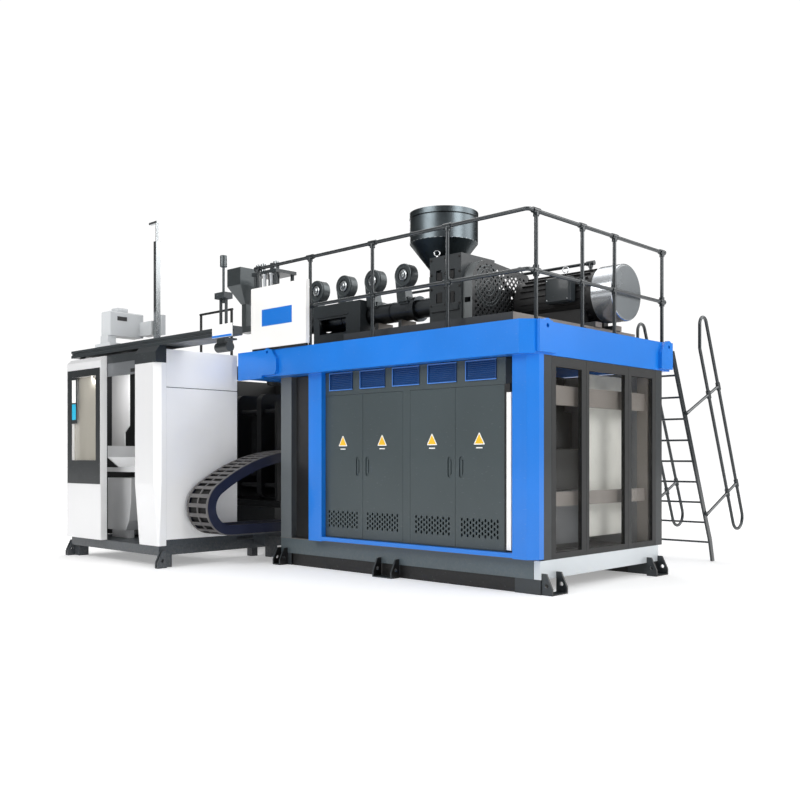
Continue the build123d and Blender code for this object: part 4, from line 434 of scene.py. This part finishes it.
def slab(x, y, z, edge=3.0, rounds=1):
    """A straight piece between two corners, given in mm as (from, to), with its edges broken."""
    bpy.ops.object.select_all(action="DESELECT")
    low, high = spot(x[0], y[0], z[0]), spot(x[1], y[1], z[1])
    bpy.ops.mesh.primitive_cube_add(size=1.0, location=(low + high) / 2)
    shape = bpy.context.object
    shape.scale = high - low
    bpy.ops.object.transform_apply()
    bpy.ops.object.mode_set(mode="EDIT")
    bpy.ops.mesh.select_all(action="SELECT")
    bpy.ops.mesh.bevel(offset=edge / 1000, segments=rounds, affect="EDGES")
    bpy.ops.object.mode_set(mode="OBJECT")
    return shape


def turned(start, towards, steps, sides=32):
    """A turned piece from one place in one direction, drawn out over steps of (radius, distance) in mm."""
    bpy.ops.object.select_all(action="DESELECT")
    bpy.ops.mesh.primitive_circle_add(vertices=sides, radius=steps[0][0] / 1000, fill_type="NGON")
    shape = bpy.context.object
    bpy.ops.object.mode_set(mode="EDIT")
    bpy.ops.mesh.select_all(action="SELECT")
    for (radius, reach), (next_radius, next_reach) in zip(steps, steps[1:]):
        rise = (0.0, 0.0, (next_reach - reach) / 1000)
        bpy.ops.mesh.extrude_region_move(TRANSFORM_OT_translate={"value": rise})
        grow = next_radius / radius
        bpy.ops.transform.resize(value=(grow, grow, 1.0), center_override=(0.0, 0.0, next_reach / 1000))
    bpy.ops.mesh.select_all(action="SELECT")
    bpy.ops.mesh.normals_make_consistent(inside=False)
    bpy.ops.object.mode_set(mode="OBJECT")
    shape.rotation_euler = Vector(towards).to_track_quat("Z", "Y").to_euler()
    shape.location = spot(*start)
    bpy.ops.object.transform_apply()
    return shape


def plate(middle, radius, corners, y, thickness, edge):
    """A flat plate that faces the front: a regular outline round (x, z) in mm, with rounded corners."""
    x, z = middle
    bpy.ops.object.select_all(action="DESELECT")
    bpy.ops.mesh.primitive_circle_add(vertices=corners, radius=radius / 1000, fill_type="NGON")
    shape = bpy.context.object
    shape.rotation_euler = (radians(90), 0.0, 0.0)
    shape.location = spot(x, y, z)
    bpy.ops.object.transform_apply()
    bpy.ops.object.mode_set(mode="EDIT")
    bpy.ops.mesh.select_all(action="SELECT")
    bpy.ops.mesh.bevel(offset=edge / 1000, segments=5, affect="VERTICES")
    bpy.ops.mesh.select_all(action="SELECT")
    bpy.ops.mesh.extrude_region_move(TRANSFORM_OT_translate={"value": (0.0, -thickness / 1000, 0.0)})
    bpy.ops.mesh.select_all(action="SELECT")
    bpy.ops.mesh.normals_make_consistent(inside=False)
    bpy.ops.object.mode_set(mode="OBJECT")
    return shape


def ring(centre, towards, radius, section, squash=1.0):
    """A rolled bead round an axis."""
    bpy.ops.object.select_all(action="DESELECT")
    bpy.ops.mesh.primitive_torus_add(
        major_radius=radius / 1000, minor_radius=section / 1000, major_segments=40, minor_segments=8,
    )
    shape = bpy.context.object
    shape.scale = (1.0, 1.0, squash)
    shape.rotation_euler = Vector(towards).to_track_quat("Z", "Y").to_euler()
    shape.location = spot(*centre)
    bpy.ops.object.transform_apply()
    return shape


def copies(shape, shifts):
    """Copies of a shape, each with its own mesh, moved by (x, y, z) in mm; the shape itself goes."""
    made = []
    for shift in shifts:
        other = shape.copy()
        other.data = shape.data.copy()
        other.location = Vector(shift) / 1000
        bpy.context.scene.collection.objects.link(other)
        made.append(other)
    bpy.data.objects.remove(shape)
    return made


def piece(name, shapes, finish, body="machine", replaced=(), smooth=35):
    """Joins shapes of one finish into a named piece that rides on a body when one is given, and hides the
    CAD parts it replaces.
    """
    bpy.ops.object.select_all(action="DESELECT")
    for shape in shapes:
        shape.select_set(True)
    bpy.context.view_layer.objects.active = shapes[0]
    if len(shapes) > 1:
        bpy.ops.object.join()
    whole = bpy.context.object
    bpy.ops.object.transform_apply()
    bpy.ops.object.shade_smooth_by_angle(angle=radians(smooth))
    whole.name = name
    whole.data.name = name
    whole.data.materials.clear()
    whole.data.materials.append(FINISH[finish])
    if body:
        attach(whole, body)
    if replaced:
        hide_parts(*replaced)
    return whole


UPWARDS = (0, 0, 1)
TO_FRONT = (0, -1, 0)

# Energy chain: navy side bands, a light ladder of cross bars over them, and the dark leads inside
CHAIN_X = (-4740.0, -4290.0)
CHAIN_HEIGHT = 132.0
CHAIN_BAND = 24.0
CHAIN_BEND = (-645.0, 749.0)
CHAIN_RADIUS = 290.0
CHAIN_TURN = 145.0
CHAIN_RISE = 2400.0
CHAIN_ENDS = (700.0, 1400.0)
CHAIN_PITCH = 105.0
chain_turn = radians(CHAIN_TURN)
rise_centre = (
    CHAIN_BEND[0] + (CHAIN_RISE - CHAIN_RADIUS) * sin(chain_turn),
    CHAIN_BEND[1] + (CHAIN_RISE - CHAIN_RADIUS) * cos(chain_turn),
)
lower_z = CHAIN_BEND[1] - CHAIN_RADIUS
lower_run = CHAIN_ENDS[0] - CHAIN_BEND[0]
bend_length = chain_turn * CHAIN_RADIUS
rise_length = radians(180 - CHAIN_TURN) * CHAIN_RISE
upper_run = CHAIN_ENDS[1] - rise_centre[0]


def chain_run(x, out):
    """A strip that follows the chain, out by (from, to) mm from its middle line on the outer side."""
    bpy.ops.object.select_all(action="DESELECT")
    bpy.ops.mesh.primitive_plane_add(size=1.0)
    shape = bpy.context.object
    shape.scale = ((x[1] - x[0]) / 1000, (out[1] - out[0]) / 1000, 1.0)
    shape.rotation_euler = (radians(90), 0.0, 0.0)
    shape.location = spot(sum(x) / 2, CHAIN_ENDS[0], lower_z - sum(out) / 2)
    bpy.ops.object.transform_apply()
    bpy.ops.object.mode_set(mode="EDIT")
    bpy.ops.mesh.select_all(action="SELECT")
    bpy.ops.mesh.extrude_region_move(TRANSFORM_OT_translate={"value": (0.0, -lower_run / 1000, 0.0)})
    bpy.ops.mesh.spin(
        steps=28, angle=chain_turn, center=spot(0, *CHAIN_BEND), axis=(1.0, 0.0, 0.0),
    )
    bpy.ops.mesh.spin(
        steps=10, angle=radians(180 - CHAIN_TURN), center=spot(0, *rise_centre), axis=(1.0, 0.0, 0.0),
    )
    bpy.ops.mesh.extrude_region_move(TRANSFORM_OT_translate={"value": (0.0, upper_run / 1000, 0.0)})
    bpy.ops.mesh.select_all(action="SELECT")
    bpy.ops.mesh.remove_doubles(threshold=0.0005)
    bpy.ops.mesh.normals_make_consistent(inside=False)
    bpy.ops.object.mode_set(mode="OBJECT")
    return shape


def chain_place(distance):
    """(y, z, turn from the lower run) of a place along the chain."""
    if distance <= lower_run:
        return CHAIN_ENDS[0] - distance, lower_z, 0.0
    distance -= lower_run
    if distance <= bend_length:
        centre, radius, turn = CHAIN_BEND, CHAIN_RADIUS, distance / CHAIN_RADIUS
    elif distance <= bend_length + rise_length:
        centre, radius, turn = rise_centre, CHAIN_RISE, chain_turn + (distance - bend_length) / CHAIN_RISE
    else:
        along = distance - bend_length - rise_length
        return rise_centre[0] + along, rise_centre[1] + CHAIN_RISE, radians(180)
    return centre[0] - radius * sin(turn), centre[1] - radius * cos(turn), turn


def chain_bars():
    """One cross bar, copied from link to link over the chain's outer side."""
    middle_x = sum(CHAIN_X) / 2
    outer_face = -CHAIN_HEIGHT / 2
    first = slab((CHAIN_X[0] + 4, CHAIN_X[1] - 4), (-26, 26), (outer_face + 2, outer_face + 14))
    first.location = -spot(middle_x, 0, 0)
    bpy.ops.object.transform_apply()
    length = lower_run + bend_length + rise_length + upper_run
    count = round(length / CHAIN_PITCH)
    bars = []
    for link in range(count):
        y, z, turn = chain_place((link + 0.5) * length / count)
        bar = first.copy()
        bar.data = first.data.copy()
        bar.location = spot(middle_x, y, z)
        bar.rotation_euler = (-turn, 0.0, 0.0)
        bpy.context.scene.collection.objects.link(bar)
        bars.append(bar)
    bpy.data.objects.remove(first)
    return bars


def follows_carriage(part):
    """Bakes the part's place into its mesh; the whole chain stays where it is drawn."""
    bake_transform(part)


half = CHAIN_HEIGHT / 2
bands = [
    chain_run((CHAIN_X[0], CHAIN_X[0] + CHAIN_BAND), (-half, half - 10)),
    chain_run((CHAIN_X[1] - CHAIN_BAND, CHAIN_X[1]), (-half, half - 10)),
]
ladder_rails = [
    chain_run((CHAIN_X[0], CHAIN_X[0] + 36), (half - 9, half)),
    chain_run((CHAIN_X[1] - 36, CHAIN_X[1]), (half - 9, half)),
    chain_run((sum(CHAIN_X) / 2 - 13, sum(CHAIN_X) / 2 + 13), (half - 13, half - 1)),
]
leads = [chain_run((CHAIN_X[0] + CHAIN_BAND + 2, CHAIN_X[1] - CHAIN_BAND - 2), (-half + 30, half - 34))]
PLAIN_CHAIN = ("energy_chain",)
chain_bands = piece("chain_bands", bands, "chain", None, PLAIN_CHAIN)
chain_ladder = piece("chain_ladder", ladder_rails + chain_bars(), "chain_bar", None, PLAIN_CHAIN)
chain_leads = piece("chain_leads", leads, "chain_core", None, PLAIN_CHAIN)
for part in (chain_bands, chain_ladder, chain_leads):
    follows_carriage(part)

# Blowers: a bright domed hub in a raised rim on each front face
BLOWERS = (-4590.0, -4025.0, -3460.0, -2895.0)
BLOWER_FACE = (1060.0, 3752.0)
hub = turned(
    (BLOWERS[0], BLOWER_FACE[0] + 2, BLOWER_FACE[1]), TO_FRONT,
    [(70, 0), (70, 9), (64, 14), (50, 16), (44, 34), (33, 40), (30, 36), (18, 36), (15, 44), (4, 45)],
)
piece("blower_hubs", copies(hub, [(x - BLOWERS[0], 0, 0) for x in BLOWERS]), "bright")
rim = ring((BLOWERS[0], BLOWER_FACE[0], BLOWER_FACE[1]), TO_FRONT, 140, 9)
piece("blower_rims", copies(rim, [(x - BLOWERS[0], 0, 0) for x in BLOWERS]), "blower")

# Hopper: rolled rim and the seam bead at its shoulder
HOPPER = (-2317.0, 1200.0)
HOPPER_RIM = 4452.0
HOPPER_SHOULDER = 4081.0
hopper_rims = [
    ring((*HOPPER, HOPPER_RIM), UPWARDS, 430, 7),
    ring((*HOPPER, HOPPER_SHOULDER), UPWARDS, 429, 4),
]
piece("hopper_rims", hopper_rims, "bright")

# Gearbox: bolted ports on its front face
GEARBOX_FACE = 850.0
PORTS = (
    ((-2122, -2041), (3539, 3642)),
    ((-1921, -1853), (3545, 3646)),
    ((-2122, -2041), (3269, 3397)),
    ((-1908, -1853), (3255, 3395)),
)
ports = [slab(x, (GEARBOX_FACE - 6, GEARBOX_FACE + 2), z, 4) for x, z in PORTS]
piece("gearbox_ports", ports, "black")
band = slab((-2240, -1760), (GEARBOX_FACE - 9, GEARBOX_FACE + 2), (3165, 3250), 3)
bolt = turned((-2215, GEARBOX_FACE, 3800), TO_FRONT, [(16, -2), (16, 9), (13, 12), (3, 12)], 6)
bolt_shifts = [(x, 0, z) for x in (0, 225, 450) for z in (0, -180, -355, -560, -850)]
piece("gearbox_band", [band], "dark")
piece("gearbox_bolts", copies(bolt, bolt_shifts), "black")

# Motor: lid with screws on the terminal box
lid = slab((-918, -592), (1408, 1421), (3202, 3478), 10, 3)
piece("terminal_lid", [lid], "dark")
screw = turned((-895, 1408, 3225), TO_FRONT, [(9, -1), (9, 4), (6, 6), (2, 6)], 12)
piece("terminal_screws", copies(screw, [(x, 0, z) for x in (0, 280) for z in (0, 230)]), "bright")

# Louvres: thin lighter strips along the bottom, left side and top of each vent, a painted highlight on
# their rims
LOUVRES = (
    (-3070.0, -2673.0),
    (-2534.0, -2131.0),
    (-2001.0, -1596.0),
    (-1460.0, -1055.0),
    (-919.0, -516.0),
)
LOUVRE_Z = (2200.0, 2404.0)
louvre_face = (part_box("louvre_vents")[0][1] - FRONT_Y) * 1000
edge_highlights = []
for left, right in LOUVRES:
    y = (louvre_face - 3, louvre_face + 6)
    edge_highlights.append(slab((left - 6, right + 6), y, (LOUVRE_Z[0] - 7, LOUVRE_Z[0] + 3), 2))
    edge_highlights.append(slab((left - 6, left + 2), y, (LOUVRE_Z[0], LOUVRE_Z[1]), 2))
    edge_highlights.append(slab((left - 6, right + 6), y, (LOUVRE_Z[1] - 3, LOUVRE_Z[1] + 4), 2))
piece("louvre_trims", edge_highlights, "louvre_highlight")

# Cabinet doors: plain amber triangles in white borders, with a white bar under each
DOOR_FACE = -50.0
DOOR_MIDDLES = (-2844.0, -2181.0, -1409.0, -744.0)
TRIANGLE_Z = 1562.0
TRIANGLE = 68.0
TRIANGLE_BORDER = 20.0
for number, x in enumerate(DOOR_MIDDLES, 1):
    body = f"cabinet_leaf_{number}"
    border = plate((x, TRIANGLE_Z), TRIANGLE + TRIANGLE_BORDER, 3, DOOR_FACE + 1, 3, 12)
    bar = slab((x - 44, x + 44), (DOOR_FACE - 2, DOOR_FACE + 1), (1478, 1490), 1)
    piece(f"door_triangle_border_{number}", [border, bar], "white", body)
    triangle = plate((x, TRIANGLE_Z), TRIANGLE, 3, DOOR_FACE - 1, 3, 8)
    piece(f"door_triangle_{number}", [triangle], "amber", body)

# Black and white edge strips at the cabinet's right side
STRIP_Z = (430.0, 2050.0)
edge_strips = [
    slab((-400, -379), (-70, -45), STRIP_Z, 2),
    slab((-400, -325), (-72, -44), (2053, 2138), 3),
]
piece("cabinet_edge_black", edge_strips, "black")
piece("cabinet_edge_white", [slab((-379, -318), (-66, -45), STRIP_Z, 3)], "white")

# Sign board: a bare blue badge, and the dark foot under the board
badge = slab((-4162, -3564), (-254, -249), (3070, 3285), 2)
piece("sign_badge", [badge], "blue")
piece("sign_foot", [slab((-4380, -3310), (-240, -200), (2762.5, 2789.5), 3)], "black")

# Safety door: dark plate over the glass with a bare white and a bare cyan bar
BAR_X = (-6838.0, -6732.0)
BAR_Y = (-1478.0, -1475.0)
piece("door_plate", [slab((-6862, -6712), (-1476, -1468), (1850, 2488), 3)], "door_frame", "sliding_door")
piece("door_bar_white", [slab(BAR_X, BAR_Y, (2140, 2455), 1)], "white", "sliding_door")
piece("door_bar_cyan", [slab(BAR_X, BAR_Y, (1905, 2120), 1)], "cyan", "sliding_door")

# Header over the door opening: grey box with a black strip in its slot, painted shade in the opening, and a
# white fascia above it
HEADER_X = (-6990.0, -5296.0)
HEADER_Y = -1372.0
piece("door_header", [slab(HEADER_X, (HEADER_Y, HEADER_Y + 25), (2466, 2668), 4)], "guard_side")
piece("header_slot", [slab((-5467, -5310), (HEADER_Y - 3, HEADER_Y + 4), (2492, 2540), 2)], "black")
piece("header_fascia", [slab(HEADER_X, (HEADER_Y, HEADER_Y + 20), (2686, 2745), 4)], "white")

# Transfer box: a black strip in the slot in its right face, painted shade in the opening, and a lamp box on
# top
slot = slab((-6109, -6104), (-1198, -1051), (3249, 3306), 2)
piece("transfer_slot", [slot], "black", "transfer")
lamp = slab((-6300, -6150), (-1180, -1010), (3368, 3430), 8, 2)
piece("transfer_lamp", [lamp], "light_grey", "transfer")

# Inside the drive end: a pale partition, a bulkhead behind it in black as painted shade deep inside, the
# drive unit's cover and plinth, a side panel
ROOM_Z = (342.0, 2400.0)
piece("inner_partition", [slab((-345, -330), (1330, 2215), (480, 2330), 4)], "inner_light")
piece("inner_bulkhead", [slab((-1290, -1275), (60, 2368), ROOM_Z, 2)], "black")
piece("drive_unit_cover", [slab((-420, -406), (705, 1495), (1020, 1480), 6)], "unit_cover")
piece("drive_unit_plinth", [slab((-420, -404), (560, 1500), (420, 1012), 6)], "guard_side")
piece("rear_inner_panel", [slab((-1290, -95), (2370, 2386), ROOM_Z, 2)], "light_grey")

# Inside the clamping unit: a black sheet on the far panel, painted shade deep in the unit
piece("far_liner", [slab((-7049, -7040), (-1155, -264), (272, 2638), 3)], "black")

# Blow pin: one rod with its cylinder on top, through a clamped collar
PIN = (-3570.0, -1275.0)
pin_steps = [(15, 0), (15, 415), (20, 418), (38, 420), (41, 424), (41, 548), (37, 554), (12, 556)]
piece("pin_cylinder", [turned((*PIN, 3182), UPWARDS, pin_steps)], "blower", "blow_pin", ("pin_rod",))

# Die head: valve cylinders on the top plate, cooling pipes before the posts
HEAD = (-5720.0, 1200.0)
HEAD_TOP = 4190.0
HEAD_COLLAR = 3760.0
valve_steps = [(40, -3), (40, 12), (30, 14), (30, 96), (40, 98), (40, 116), (14, 118), (14, 130), (4, 131)]
valve = turned((HEAD[0] - 210, HEAD[1] - 130, HEAD_TOP), UPWARDS, valve_steps, 20)
piece("head_valves", copies(valve, [(x, 0, 0) for x in (0, 120, 420)]), "bright")
pipe_steps = [(34, -2), (34, 30), (26, 34), (26, 350), (34, 354), (34, 380)]
pipe = turned((HEAD[0] - 150, HEAD[1] - 170, HEAD_COLLAR), UPWARDS, pipe_steps, 16)
piece("head_pipes", copies(pipe, [(x, 0, 0) for x in (0, 140, 300)]), "light_grey")

# Belt guard: rings pressed round the large pulley's centre, and a black sheet behind the mesh, painted
# shade inside the guard
LARGE_PULLEY = (-1601.0, 1200.0, 3465.0)
RING_RADII = (60.0, 120.0, 205.0, 245.0)
rings = [ring(LARGE_PULLEY, (1, 0, 0), radius, 8, 0.5) for radius in RING_RADII]
piece("guard_rings", rings, "blower")
piece("guard_back", [slab((-1753, -1743), (1505, 1850), (2945, 3500), 4)], "black")

# Guide beam: blue lip under the white end plate
piece("guide_end_lip", [slab((-3680, -3302), (-1361, -1350), (2772, 2798), 2)], "blue")

# Camera, light and floor
LENS = 41.8
SHIFT_Y = 0.0725
EYE = Vector((8.879, -9.492, 1.376))
LOOK = Vector((-0.6884, 0.7254, 0.0))
camera_data = bpy.data.cameras.new("camera")
camera_data.lens = LENS
camera_data.sensor_width = 36.0
camera_data.shift_y = SHIFT_Y
camera_data.clip_end = 200.0
camera = bpy.data.objects.new("camera", camera_data)
camera.location = EYE
camera.rotation_euler = LOOK.to_track_quat("-Z", "Y").to_euler()
bpy.context.scene.collection.objects.link(camera)
bpy.context.scene.camera = camera
bpy.context.scene.view_settings.view_transform = "Standard"


def soft_light(name, place, aim, size, power):
    """A soft box at a place in metres, turned towards another."""
    lamp = bpy.data.lights.new(name, "AREA")
    lamp.shape = "RECTANGLE"
    lamp.size, lamp.size_y = size
    lamp.energy = power
    holder = bpy.data.objects.new(name, lamp)
    holder.location = place
    holder.rotation_euler = (Vector(aim) - Vector(place)).to_track_quat("-Z", "Y").to_euler()
    bpy.context.scene.collection.objects.link(holder)


soft_light("key_softbox", (-1.0, -13.0, 9.0), (0.0, 0.0, 1.8), (9.0, 6.0), 900.0)
soft_light("end_softbox", (13.0, -1.0, 7.0), (3.0, 0.0, 1.8), (6.0, 6.0), 560.0)
soft_light("top_softbox", (0.0, 1.5, 12.0), (0.0, 0.0, 2.0), (12.0, 8.0), 460.0)
# A small lamp inside the clamping unit's opening
soft_light("unit_lamp", (-2.72, -3.02, 2.5), (-3.22, -2.56, 1.7), (0.5, 0.3), 8.0)
soft_light("rim_softbox", (-9.0, 8.0, 8.0), (-2.0, 0.0, 3.0), (6.0, 4.0), 360.0)

# The sky looks white, lights evenly, and shines in reflections only overhead and through one window
world = bpy.data.worlds.new("studio")
bpy.context.scene.world = world
world.use_nodes = True
sky = Board(world.node_tree)
backdrop = world.node_tree.nodes["Background"]
SKY_SEEN = 1.04
SKY_LIGHT = 0.44
SKY_SHINE = 0.08
WINDOW_WAY = (0.63, 0.567, 0.53)
WINDOW_SHINE = 3.6
TOP_SHINE = 0.6
path = sky.add("ShaderNodeLightPath").outputs
way = sky.add("ShaderNodeTexCoord").outputs["Generated"]
window = sky.add("ShaderNodeVectorMath", {"operation": "DOT_PRODUCT"})
sky.feed(window, "0", way)
sky.feed(window, "1", WINDOW_WAY)
window_share = sky.steps(window.outputs["Value"], 0.86, 0.96)
top_share = sky.steps(sky.part(way, "Z"), 0.40, 0.90)
top_shine = sky.math("MULTIPLY_ADD", top_share, TOP_SHINE, SKY_SHINE)
shine = sky.math("MULTIPLY_ADD", window_share, WINDOW_SHINE, top_shine)
shine_more = sky.math("SUBTRACT", shine, SKY_LIGHT)
unseen = sky.math("MULTIPLY_ADD", path["Is Glossy Ray"], shine_more, SKY_LIGHT)
seen = sky.math("MULTIPLY", path["Is Camera Ray"], sky.math("SUBTRACT", SKY_SEEN, unseen))
sky.feed(backdrop, "Color", (1.0, 1.0, 1.0, 1.0))
sky.feed(backdrop, "Strength", sky.math("ADD", unseen, seen))

bpy.ops.object.select_all(action="DESELECT")
bpy.ops.mesh.primitive_plane_add(size=160.0, location=(0.0, 0.0, 0.0))
floor = bpy.context.object
floor.name = "studio_floor"
# The floor glows more with its distance, so that it fades into the white sky
floor_finish, board, shader, vector = blank_finish("studio_floor_finish")
shade = board.noise(vector, 0.3, 2.0, 0.5)
board.feed(shader, "Base Color", board.blend(shade, (0.86, 0.86, 0.86, 1.0), (0.90, 0.90, 0.90, 1.0)))
shader.inputs["Roughness"].default_value = 0.75
distance = board.add("ShaderNodeVectorMath", {"operation": "LENGTH"})
board.feed(distance, "0", vector)
lift = board.steps(distance.outputs["Value"], 4.0, 14.0, 0.30, 0.72)
board.feed(shader, "Emission Color", board.blend(lift, (0.0, 0.0, 0.0, 1.0), (1.0, 1.0, 1.0, 1.0)))
shader.inputs["Emission Strength"].default_value = 1.0
floor.data.materials.append(floor_finish)
